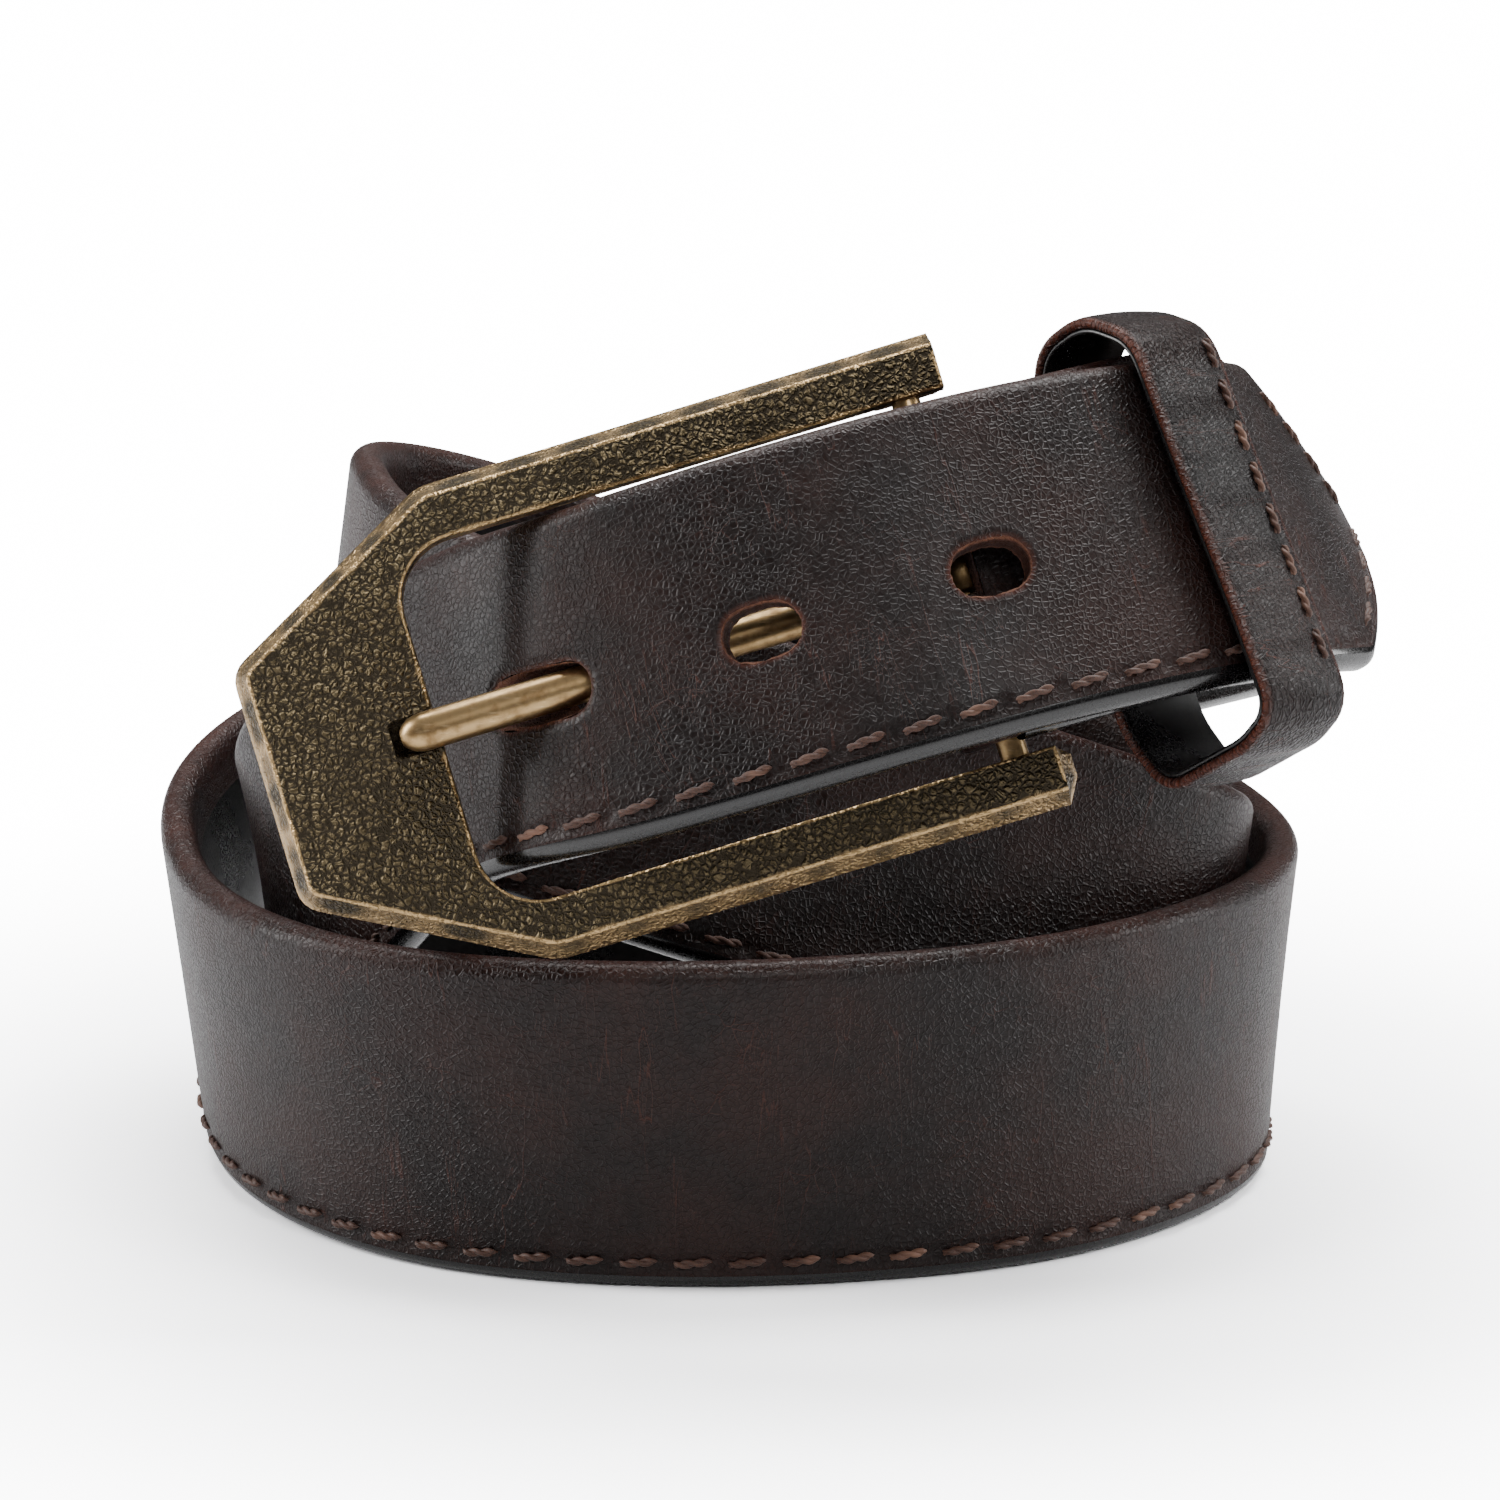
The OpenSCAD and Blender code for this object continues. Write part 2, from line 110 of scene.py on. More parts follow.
# The coil: x, y, rise of the lower edge, lean, as in the CAD.
COIL = (
    (24, -48, 62.8, 22), (43, -40.5, 66.5, 25), (55, -25, 66, 26), (60.3, -5, 61, 22),
    (61, 17, 53.5, 15), (52, 40.5, 45.5, 7), (32.5, 57, 35.5, 0), (7, 64, 26.5, -5),
    (-22, 62.5, 18.5, -7), (-48, 53, 12, -7), (-64, 35, 7.5, -7), (-68, 12, 4, -7),
    (-63.5, -15, 0.5, -7), (-46, -38, -0.2, -6), (-21, -48, -0.2, -3), (9, -47, -0.2, 0),
    (36, -38, -0.2, 2), (55, -20, 0, 1), (63, -1, 0.5, -4), (60.5, 15.5, 2, -10),
    (48, 34, 5.5, -12), (24, 49, 14, -7), (-9, 55.5, 27, 3), (-38, 51.5, 38, 8),
    (-50, 34, 43.5, 9), (-47.5, 8, 46, 7), (-42.5, -15, 45, 8), (-29, -31, 42, 14),
    (-7, -36, 36, 18), (20, -28, 25, 14), (45, -19, 14.5, 6), (57, -7, 8, -3),
    (55, 9, 2.5, -12), (41, 20, -1.2, -18), (18, 25, -1.4, -20), (-8, 27, -1.4, -20),
    (-35, 25, -0.8, -18), (-53, 13, 3, -13), (-57.5, -5, 12.5, -7), (-48.5, -20, 26.5, 0),
    (-35.2, -36.2, 44, 9), (-19.7, -54, 51.5, 18), (4, -59, 60.4, 24), (28.5, -56, 66.8, 30),
    (50, -45, 68.5, 34), (63, -29.5, 65.5, 34), (66.5, -16, 61.3, 31),
)
SHIFT = np.array([0.2, 0.0, 0.0])


class Route:
    """The strap's centre surface: a smooth curve with a leaning width direction."""

    def __init__(self, sizes: StrapSizes) -> None:
        """Tables the curve.

        Args:
            sizes: The strap's sizes.
        """
        rows = np.array(COIL, dtype=float)
        rows[:, 2] += sizes.half_w
        self.rows = np.vstack([2 * rows[0] - rows[1], rows, 2 * rows[-1] - rows[-2]])
        self.spans = len(rows) - 1
        self.u = np.linspace(0, self.spans, self.spans * 40 + 1)
        points = self._blend(self.u)[:, :3]
        self.s = np.concatenate([[0], np.cumsum(np.linalg.norm(np.diff(points, axis=0), axis=1))])
        self.total = float(self.s[-1])

    def _weights(self, u: np.ndarray, slope: bool) -> np.ndarray:
        """Rows blended by the weights of a cubic B-spline, or by their slopes.

        Args:
            u: Places along the curve, counted in rows.
            slope: Whether the slope is wanted in place of the value.

        Returns:
            One blended row (x, y, z, lean) for each place.
        """
        i = np.minimum(u.astype(int), self.spans - 1)
        t = (u - i)[:, None]
        if slope:
            b = (-((1 - t) ** 2), 3 * t * t - 4 * t, 1 + 2 * t - 3 * t * t, t * t)
            return sum(k * self.rows[i + j] for j, k in enumerate(b)) / 2
        b = ((1 - t) ** 3, 3 * t**3 - 6 * t * t + 4, 3 * t * t + 3 * t + 1 - 3 * t**3, t**3)
        return sum(k * self.rows[i + j] for j, k in enumerate(b)) / 6

    def _blend(self, u: np.ndarray) -> np.ndarray:
        """Blended rows (x, y, z, lean) at places along the curve."""
        return self._weights(u, False)

    def frames(self, s: np.ndarray) -> tuple[np.ndarray, np.ndarray, np.ndarray, np.ndarray]:
        """Place, along, across and outward directions at distances along the strap.

        Args:
            s: Distances in millimetres.

        Returns:
            Four arrays of vectors, the places in millimetres.
        """
        u = np.interp(s, self.s, self.u)
        place = self._blend(u)
        t = self._weights(u, True)[:, :3]
        t /= np.linalg.norm(t, axis=1)[:, None]
        side = np.cross(t, [0, 0, 1.0])
        side /= np.linalg.norm(side, axis=1)[:, None]
        up = np.cross(side, t)
        lean = np.radians(place[:, 3])[:, None]
        across = up * np.cos(lean) - side * np.sin(lean)
        out = side * np.cos(lean) + up * np.sin(lean)
        return place[:, :3] + SHIFT, t, across, out

    def at(self, s: np.ndarray, w: np.ndarray, n: np.ndarray) -> np.ndarray:
        """Points in metres from distances along, across and through the strap.

        Args:
            s: Distance along, any shape.
            w: Distance across, same shape.
            n: Distance outward, same shape.

        Returns:
            Points, with one more axis than the distances.
        """
        s, w, n = np.broadcast_arrays(s, w, n)
        flat = np.clip(s.ravel(), 0, self.total)
        place, t, across, out = self.frames(flat)
        extra = (s.ravel() - flat)[:, None]
        p = place + t * extra + across * w.ravel()[:, None] + out * n.ravel()[:, None]
        p[:, 2] = np.maximum(p[:, 2], 0.0)
        return (p * MM).reshape(s.shape + (3,))


class Shape:
    """Small helpers that turn arrays into Blender meshes."""

    @staticmethod
    def grid(points: np.ndarray, keep: np.ndarray | None = None,
             loop: bool = False) -> tuple[np.ndarray, np.ndarray]:
        """Vertices and quads of a grid.

        Args:
            points: Array of rows by columns by 3.
            keep: Which cells to keep, or None for all.
            loop: Whether the columns close on themselves.

        Returns:
            The vertices, and the four vertex numbers of each quad.
        """
        a, b = points.shape[:2]
        cols = b if loop else b - 1
        i, j = np.meshgrid(np.arange(a - 1), np.arange(cols), indexing="ij")
        k = (j + 1) % b
        quads = np.stack([i * b + j, i * b + k, (i + 1) * b + k, (i + 1) * b + j], axis=-1)
        quads = quads.reshape(-1, 4)
        if keep is not None:
            quads = quads[keep.reshape(-1)]
        return points.reshape(-1, 3), quads

    @staticmethod
    def corner(x: float, y: float, r: float, start: float, stop: float, count: int) -> list:
        """Points of a round corner.

        Args:
            x: Centre, first axis.
            y: Centre, second axis.
            r: Radius.
            start: First angle in degrees.
            stop: Last angle in degrees.
            count: How many points.

        Returns:
            Pairs of coordinates.
        """
        return [(x + r * math.cos(a), y + r * math.sin(a))
                for a in np.radians(np.linspace(start, stop, count))]

    @staticmethod
    def mesh(name: str, verts: np.ndarray, faces: list, values: dict | None = None,
             outward: bool = True, split_caps: bool = False) -> bpy.types.Mesh:
        """A mesh with point attributes.

        Args:
            name: Mesh name.
            verts: Vertices in metres.
            faces: Vertex numbers of each face.
            values: Point attributes: name to array of floats or vectors.
            outward: Whether every face is turned outward.
            split_caps: Whether faces with more than four corners become triangles.

        Returns:
            The mesh.
        """
        mesh = bpy.data.meshes.new(name)
        mesh.from_pydata(verts.tolist(), [], faces)
        for key, data in (values or {}).items():
            data = np.asarray(data, dtype=np.float32)
            kind = "FLOAT_VECTOR" if data.ndim == 2 else "FLOAT"
            layer = mesh.attributes.new(key, kind, "POINT")
            layer.data.foreach_set("vector" if data.ndim == 2 else "value", data.ravel())
        work = bmesh.new()
        work.from_mesh(mesh)
        if split_caps:
            bmesh.ops.triangulate(work, faces=[f for f in work.faces if len(f.verts) > 4])
        if outward:
            bmesh.ops.recalc_face_normals(work, faces=work.faces)
        work.to_mesh(mesh)
        work.free()
        return mesh

    @staticmethod
    def place(name: str, data: bpy.types.ID) -> bpy.types.Object:
        """A new object for a mesh, light or camera, linked to the scene."""
        obj = bpy.data.objects.new(name, data)
        bpy.context.scene.collection.objects.link(obj)
        return obj

    @staticmethod
    def piece(name: str, parts: list, values: dict | None = None) -> bpy.types.Object:
        """One smooth-shaded object out of several grids and caps.

        Args:
            name: Object name.
            parts: Pairs of vertices and faces.
            values: Point attributes: name to array of floats or vectors.

        Returns:
            The object.
        """
        verts, faces, base = [], [], 0
        for part_verts, part_faces in parts:
            verts.append(part_verts)
            faces += (np.asarray(part_faces) + base).tolist()
            base += len(part_verts)
        mesh = Shape.mesh(name, np.concatenate(verts), faces, values, outward=len(parts) > 1)
        mesh.shade_smooth()
        return Shape.place(name, mesh)

    @staticmethod
    def finish(obj: bpy.types.Object, body: Body, slot: Slot, material: bpy.types.Material,
               nodes: tuple[str, ...] = ()) -> None:
        """Gives a piece its material, its body and the CAD nodes it stands for.

        Args:
            obj: The piece.
            body: The body it rides on.
            slot: Its material slot in the record; not used.
            material: Its material.
            nodes: CAD nodes that it replaces.
        """
        obj.data.materials.clear()
        obj.data.materials.append(material)
        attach(obj, body.value)
        if nodes:
            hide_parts(*nodes)
        log.info("%s: %d vertices, rides on %s", obj.name, len(obj.data.vertices), body.value)


Value = float | tuple | bpy.types.NodeSocket


class Nodes:
    """Thin wrapper over a node tree, so materials read as a list of steps."""

    def __init__(self, tree: bpy.types.NodeTree) -> None:
        """Starts on a tree."""
        self.tree = tree
        self.x = -1200

    def add(self, kind: str, values: dict | None = None, **settings: str | bool) -> bpy.types.Node:
        """Adds a node.

        Args:
            kind: Node type.
            values: Input name or index to a value or an output socket.
            settings: Attributes of the node.

        Returns:
            The node.
        """
        node = self.tree.nodes.new(kind)
        node.location = (self.x, 0)
        self.x += 180
        for key, value in settings.items():
            setattr(node, key, value)
        for key, value in (values or {}).items():
            self.set(node, key, value)
        return node

    def set(self, node: bpy.types.Node, key: str | int, value: Value) -> None:
        """Sets or links one input.

        Args:
            node: The node.
            key: Name or index of the input.
            value: A value, or an output socket to link.
        """
        socket = node.inputs[key]
        if isinstance(value, bpy.types.NodeSocket):
            self.tree.links.new(value, socket)
        else:
            socket.default_value = value

    def math(self, op: str, a: Value, b: Value = 0.0, clamp: bool = False) -> Value:
        """A Math node's output."""
        return self.add("ShaderNodeMath", {0: a, 1: b}, operation=op, use_clamp=clamp).outputs[0]

    def ramp(self, value: Value, low: float, high: float, to_low: float = 0.0,
             to_high: float = 1.0) -> Value:
        """A smooth remap of a value.

        Args:
            value: The value.
            low: Value that gives to_low.
            high: Value that gives to_high.
            to_low: Result at low.
            to_high: Result at high.

        Returns:
            The remapped value.
        """
        node = self.add("ShaderNodeMapRange",
                        {"Value": value, "From Min": low, "From Max": high,
                         "To Min": to_low, "To Max": to_high},
                        interpolation_type="SMOOTHSTEP")
        return node.outputs[0]

    def mix(self, factor: Value, a: Value, b: Value) -> Value:
        """A colour between a and b.

        Args:
            factor: Share of b.
            a: Colour or socket.
            b: Colour or socket.

        Returns:
            The mixed colour.
        """
        node = self.add("ShaderNodeMix", data_type="RGBA")
        self.set(node, 0, factor)
        self.set(node, 6, a)
        self.set(node, 7, b)
        return node.outputs[2]

    def scaled(self, vector: Value, scale: tuple) -> Value:
        """A vector times a fixed scale."""
        node = self.add("ShaderNodeVectorMath", {0: vector, 1: scale}, operation="MULTIPLY")
        return node.outputs[0]

    def place_mm(self) -> Value:
        """The place on the piece, in millimetres."""
        return self.scaled(self.add("ShaderNodeTexCoord").outputs["Object"], (1000.0, 1000.0, 1000.0))

    def noise(self, vector: Value, scale: float, detail: float = 4.0, rough: float = 0.55,
              distortion: float = 0.0) -> Value:
        """A noise value.

        Args:
            vector: Where it is read.
            scale: Waves per unit.
            detail: How many finer layers.
            rough: Strength of the finer layers.
            distortion: How far the waves are bent.

        Returns:
            The value.
        """
        return self.add("ShaderNodeTexNoise",
                        {"Vector": vector, "Scale": scale, "Detail": detail,
                         "Roughness": rough, "Distortion": distortion}).outputs[0]


class Group:
    """A shared node group with named sockets."""

    def __init__(self, name: str, inputs: dict, outputs: dict) -> None:
        """Makes the group.

        Args:
            name: Group name.
            inputs: Socket name to (type, default).
            outputs: Socket name to type.
        """
        self.tree = bpy.data.node_groups.new(name, "ShaderNodeTree")
        for key, (kind, default) in inputs.items():
            socket = self.tree.interface.new_socket(key, in_out="INPUT", socket_type=kind)
            if default is not None:
                socket.default_value = default
        for key, kind in outputs.items():
            self.tree.interface.new_socket(key, in_out="OUTPUT", socket_type=kind)
        self.nodes = Nodes(self.tree)
        self.given = self.nodes.add("NodeGroupInput").outputs
        self.out = self.nodes.add("NodeGroupOutput").inputs

    def give(self, key: str, socket: bpy.types.NodeSocket) -> None:
        """Links one output."""
        self.tree.links.new(socket, self.out[key])

    def use(self, nodes: Nodes, values: dict) -> bpy.types.bpy_prop_collection:
        """Puts the group in a tree.

        Args:
            nodes: The tree's nodes.
            values: Input name to a value or an output socket.

        Returns:
            The outputs, by name.
        """
        node = nodes.add("ShaderNodeGroup", node_tree=self.tree)
        for key, value in values.items():
            nodes.set(node, key, value)
        return node.outputs


FLOAT = "NodeSocketFloat"
VECTOR = "NodeSocketVector"


def hide_group() -> Group:
    """Hide: pebbled grain, fine wrinkles and blotches, in strap millimetres."""
    g = Group("HideGrain", {"Place": (VECTOR, None), "Grain": (FLOAT, 1.0), "Wrinkle": (FLOAT, 1.0)},
              {"Height": FLOAT, "Pits": FLOAT, "Blotch": FLOAT, "Vein": FLOAT})
    n = g.nodes
    place = g.given["Place"]
    warp = n.add("ShaderNodeTexNoise", {"Vector": place, "Scale": 0.35, "Detail": 3.0})
    moved = n.add("ShaderNodeVectorMath",
                  {0: warp.outputs["Color"], 1: (0.9, 0.9, 0.9), 2: place},
                  operation="MULTIPLY_ADD").outputs[0]
    cells = n.add("ShaderNodeTexVoronoi", {"Vector": moved, "Scale": 1.55, "Randomness": 1.0},
                  feature="DISTANCE_TO_EDGE").outputs["Distance"]
    pebbles = n.ramp(cells, 0.0, 0.22)
    coarse = n.add("ShaderNodeTexVoronoi", {"Vector": moved, "Scale": 0.42, "Randomness": 1.0},
                   feature="DISTANCE_TO_EDGE").outputs["Distance"]
    patch = n.ramp(n.noise(place, 0.11, 4.0), 0.5, 0.68)
    vein = n.math("MULTIPLY", n.ramp(coarse, 0.0, 0.035, 1.0, 0.0), patch)
    fine = n.noise(moved, 3.2, 5.0, 0.6)
    wrinkle = n.noise(n.scaled(moved, (0.5, 0.16, 0.5)), 1.0, 6.0, 0.62)
    height = n.math("ADD", n.math("MULTIPLY", n.math("MULTIPLY", pebbles, 0.45), g.given["Grain"]),
                    n.math("MULTIPLY", fine, 0.35))
    height = n.math("ADD", height, n.math("MULTIPLY", n.math("MULTIPLY", wrinkle, 0.6),
                                          g.given["Wrinkle"]))
    height = n.math("SUBTRACT", height, n.math("MULTIPLY", vein, 0.3))
    g.give("Height", height)
    g.give("Pits", n.ramp(cells, 0.0, 0.12, 1.0, 0.0))
    g.give("Blotch", n.noise(place, 0.05, 5.0, 0.6))
    g.give("Vein", vein)
    return g


def crease_group() -> Group:
    """Creases: fine broken lines that cross the strap where it has been bent."""
    g = Group("BendCreases", {"Place": (VECTOR, None), "Amount": (FLOAT, 1.0)}, {"Lines": FLOAT})
    n = g.nodes
    base = g.given["Place"]
    field_a = n.noise(n.scaled(base, (0.16, 0.022, 0.2)), 1.0, 4.0, 0.55, 0.5)
    field_b = n.noise(n.scaled(base, (0.3, 0.05, 0.2)), 1.0, 4.0, 0.6, 0.8)
    thin_a = n.ramp(n.math("ABSOLUTE", n.math("SUBTRACT", field_a, 0.52)), 0.0, 0.008, 1.0, 0.0)
    thin_b = n.ramp(n.math("ABSOLUTE", n.math("SUBTRACT", field_b, 0.46)), 0.0, 0.007, 0.7, 0.0)
    sharp = n.math("MAXIMUM", thin_a, thin_b)
    broken = n.ramp(n.noise(n.scaled(base, (0.16, 0.06, 0.3)), 1.0, 4.0), 0.46, 0.6)
    area = n.ramp(n.noise(n.scaled(base, (0.02, 0.05, 0.03)), 1.0, 2.0), 0.36, 0.6, 0.25, 1.0)
    g.give("Lines", n.math("MULTIPLY", n.math("MULTIPLY", sharp, broken),
                           n.math("MULTIPLY", area, g.given["Amount"])))
    return g


def pebble_group() -> Group:
    """Cast skin: worm-like pebbles with sunk channels between them; Ridge sets the darker colour in the
    channels, partly patina and partly painted shade.
    """
    g = Group("CastPebble", {"Place": (VECTOR, None), "Scale": (FLOAT, 1.0)},
              {"Height": FLOAT, "Ridge": FLOAT, "Tone": FLOAT})
    n = g.nodes
    place = g.given["Place"]
    warp = n.add("ShaderNodeTexNoise", {"Vector": place, "Scale": 0.9, "Detail": 2.0})
    moved = n.add("ShaderNodeVectorMath",
                  {0: warp.outputs["Color"], 1: (1.1, 1.1, 1.1), 2: place},
                  operation="MULTIPLY_ADD").outputs[0]
    scale = n.math("MULTIPLY", g.given["Scale"], 1.2)
    cells = n.add("ShaderNodeTexVoronoi", {"Vector": moved, "Scale": scale, "Randomness": 0.9},
                  feature="DISTANCE_TO_EDGE").outputs["Distance"]
    lump = n.ramp(cells, 0.0, 0.3)
    worm = n.noise(moved, 1.2, 2.0, 0.5)
    ridge = n.ramp(n.math("ABSOLUTE", n.math("SUBTRACT", worm, 0.5)), 0.0, 0.1, 0.35, 1.0)
    height = n.math("MULTIPLY", lump, ridge)
    height = n.math("ADD", height, n.math("MULTIPLY", n.noise(place, 6.0, 3.0), 0.1))
    g.give("Height", height)
    g.give("Ridge", n.ramp(height, 0.08, 0.7))
    g.give("Tone", n.noise(place, 0.25, 4.0))
    return g


@dataclass(frozen=True)
class Finish:
    """A Principled finish: colours and the uniform settings that sit on its sockets."""

    name: str
    dark: tuple
    mid: tuple
    light: tuple
    roughness: float = 0.45
    coat: float = 0.0
    coat_roughness: float = 0.2
    sheen: float = 0.0
    sheen_roughness: float = 0.4
    sheen_tint: tuple = (1.0, 1.0, 1.0, 1.0)
    specular: float = 0.5
    metallic: float = 0.0
    bump: float = 0.3
    bump_mm: float = 0.15

    def start(self) -> tuple[bpy.types.Material, Nodes, bpy.types.Node]:
        """A new material with the uniform settings on its sockets.

        Returns:
            The material, its nodes and its Principled node.
        """
        material = bpy.data.materials.new(self.name)
        material.use_nodes = True
        tree = material.node_tree
        bsdf = tree.nodes["Principled BSDF"]
        bsdf.inputs["Roughness"].default_value = self.roughness
        bsdf.inputs["Metallic"].default_value = self.metallic
        bsdf.inputs["Coat Weight"].default_value = self.coat
        bsdf.inputs["Coat Roughness"].default_value = self.coat_roughness
        bsdf.inputs["Sheen Weight"].default_value = self.sheen
        bsdf.inputs["Sheen Roughness"].default_value = self.sheen_roughness
        bsdf.inputs["Sheen Tint"].default_value = self.sheen_tint
        bsdf.inputs["Specular IOR Level"].default_value = self.specular
        return material, Nodes(tree), bsdf

    def relief(self, nodes: Nodes, bsdf: bpy.types.Node, height: Value) -> None:
        """Links a height to the normal.

        Args:
            nodes: The material's nodes.
            bsdf: Its Principled node.
            height: Height, 1 standing for bump_mm.
        """
        bump = nodes.add("ShaderNodeBump", {"Height": height, "Strength": self.bump,
                                            "Distance": self.bump_mm * MM})
        nodes.set(bsdf, "Normal", bump.outputs[0])


@dataclass(frozen=True)
class HideFinish(Finish):
    """Waxed hide with rubbed edges and bend creases."""

    grain: float = 1.0
    wrinkle: float = 1.0
    crease: float = 1.0

    def build(self, hide: Group, creases: Group) -> bpy.types.Material:
        """Leather that darkens in its pits and pales where it is rubbed or bent.

        Args:
            hide: The hide's grain.
            creases: The bend creases.

        Returns:
            The material.
        """
        material, n, bsdf = self.start()
        place = n.add("ShaderNodeAttribute", attribute_name="run").outputs["Vector"]
        rub = n.add("ShaderNodeAttribute", attribute_name="rub").outputs["Fac"]
        skin = hide.use(n, {"Place": place, "Grain": self.grain, "Wrinkle": self.wrinkle})
        lines = creases.use(n, {"Place": place, "Amount": self.crease})["Lines"]
        fine = n.noise(place, 0.5, 5.0, 0.65)
        worn = n.ramp(n.math("ADD", rub, n.math("MULTIPLY", n.math("ADD", skin["Blotch"], fine), 0.4)),
                      0.5, 1.4)
        pulled = n.math("MAXIMUM", worn, n.math("MULTIPLY", lines, 0.62))
        pulled = n.math("MAXIMUM", pulled, n.math("MULTIPLY", skin["Vein"], 0.35))
        tone = n.mix(n.ramp(skin["Blotch"], 0.35, 0.68), self.dark, self.mid)
        colour = n.mix(pulled, tone, self.light)
        colour = n.mix(n.math("MULTIPLY", skin["Pits"], 0.3), colour, self.dark)
        n.set(bsdf, "Base Color", colour)
        rough = n.math("ADD", self.roughness, n.math("MULTIPLY", skin["Pits"], 0.16))
        rough = n.math("ADD", rough, n.math("MULTIPLY", n.math("SUBTRACT", skin["Blotch"], 0.5), 0.22))
        n.set(bsdf, "Roughness", n.math("SUBTRACT", rough, n.math("MULTIPLY", rub, 0.08)))
        height = n.math("SUBTRACT", skin["Height"], n.math("MULTIPLY", lines, 0.5))
        self.relief(n, bsdf, height)
        return material


@dataclass(frozen=True)
class ThreadFinish(Finish):
    """Waxed twisted thread, lit by its own plies."""

    def build(self) -> bpy.types.Material:
        """Thread with a fibre tone and soiled stretches.

        Returns:
            The material.
        """
        material, n, bsdf = self.start()
        place = n.place_mm()
        fibre = n.noise(place, 6.0, 4.0, 0.7)
        soil = n.noise(place, 0.12, 3.0)
        colour = n.mix(n.ramp(fibre, 0.3, 0.7), self.dark, self.mid)
        n.set(bsdf, "Base Color", n.mix(n.ramp(soil, 0.5, 0.75), colour, self.light))
        n.set(bsdf, "Roughness", n.ramp(fibre, 0.2, 0.8, self.roughness - 0.1, self.roughness + 0.15))
        self.relief(n, bsdf, fibre)
        return material


@dataclass(frozen=True)
class CastFinish(Finish):
    """Cast brass: channels darker in colour, partly patina and partly painted shade for the relief;
    ridges lighter; edges rubbed bright.
    """

    scale: float = 1.0
    cover: float = 1.0

    def build(self, pebbles: Group) -> bpy.types.Material:
        """Brass, darker in its channels (partly patina, partly painted shade) and lighter on its
        ridges; its edges rubbed bright.

        Args:
            pebbles: The cast skin.

        Returns:
            The material.
        """
        material, n, bsdf = self.start()
        place = n.place_mm()
        rub = n.add("ShaderNodeAttribute", attribute_name="rub").outputs["Fac"]
        skin = pebbles.use(n, {"Place": place, "Scale": self.scale})
        smooth = n.ramp(rub, 0.25, 0.85)
        ridge = n.math("MULTIPLY", skin["Ridge"], n.ramp(skin["Tone"], 0.3, 0.7, 0.55, 1.0))
        bright = n.math("MAXIMUM", n.math("MULTIPLY", ridge, self.cover), smooth, clamp=True)
        # Painted shade: colour goes from dark in the channels to mid on the ridges, partly patina and
        # partly standing in for the relief's shading.
        colour = n.mix(n.math("MULTIPLY", ridge, self.cover), self.dark, self.mid)
        n.set(bsdf, "Base Color", n.mix(smooth, colour, self.light))
        n.set(bsdf, "Roughness", n.ramp(bright, 0.0, 1.0, self.roughness + 0.18, self.roughness - 0.04))
        n.set(bsdf, "Metallic", n.ramp(bright, 0.0, 0.5, 0.75, 1.0))
        self.relief(n, bsdf, n.math("MULTIPLY", skin["Height"], n.ramp(rub, 0.0, 0.9, 1.0, 0.25)))
        return material


@dataclass(frozen=True)
class SatinFinish(Finish):
    """Satin brass with faint brushing and tarnish."""

    def build(self) -> bpy.types.Material:
        """Brass with brushing and stains.

        Returns:
            The material.
        """
        material, n, bsdf = self.start()
        place = n.place_mm()
        brush = n.noise(n.scaled(place, (0.35, 3.0, 3.0)), 1.0, 4.0)
        stain = n.noise(place, 0.5, 4.0, 0.6)
        colour = n.mix(n.ramp(stain, 0.42, 0.72), self.mid, self.dark)
        n.set(bsdf, "Base Color", n.mix(n.ramp(brush, 0.55, 0.8), colour, self.light))
        n.set(bsdf, "Roughness", n.ramp(stain, 0.3, 0.75, self.roughness, self.roughness + 0.14))
        self.relief(n, bsdf, n.math("ADD", n.math("MULTIPLY", brush, 0.5), stain))
        return material


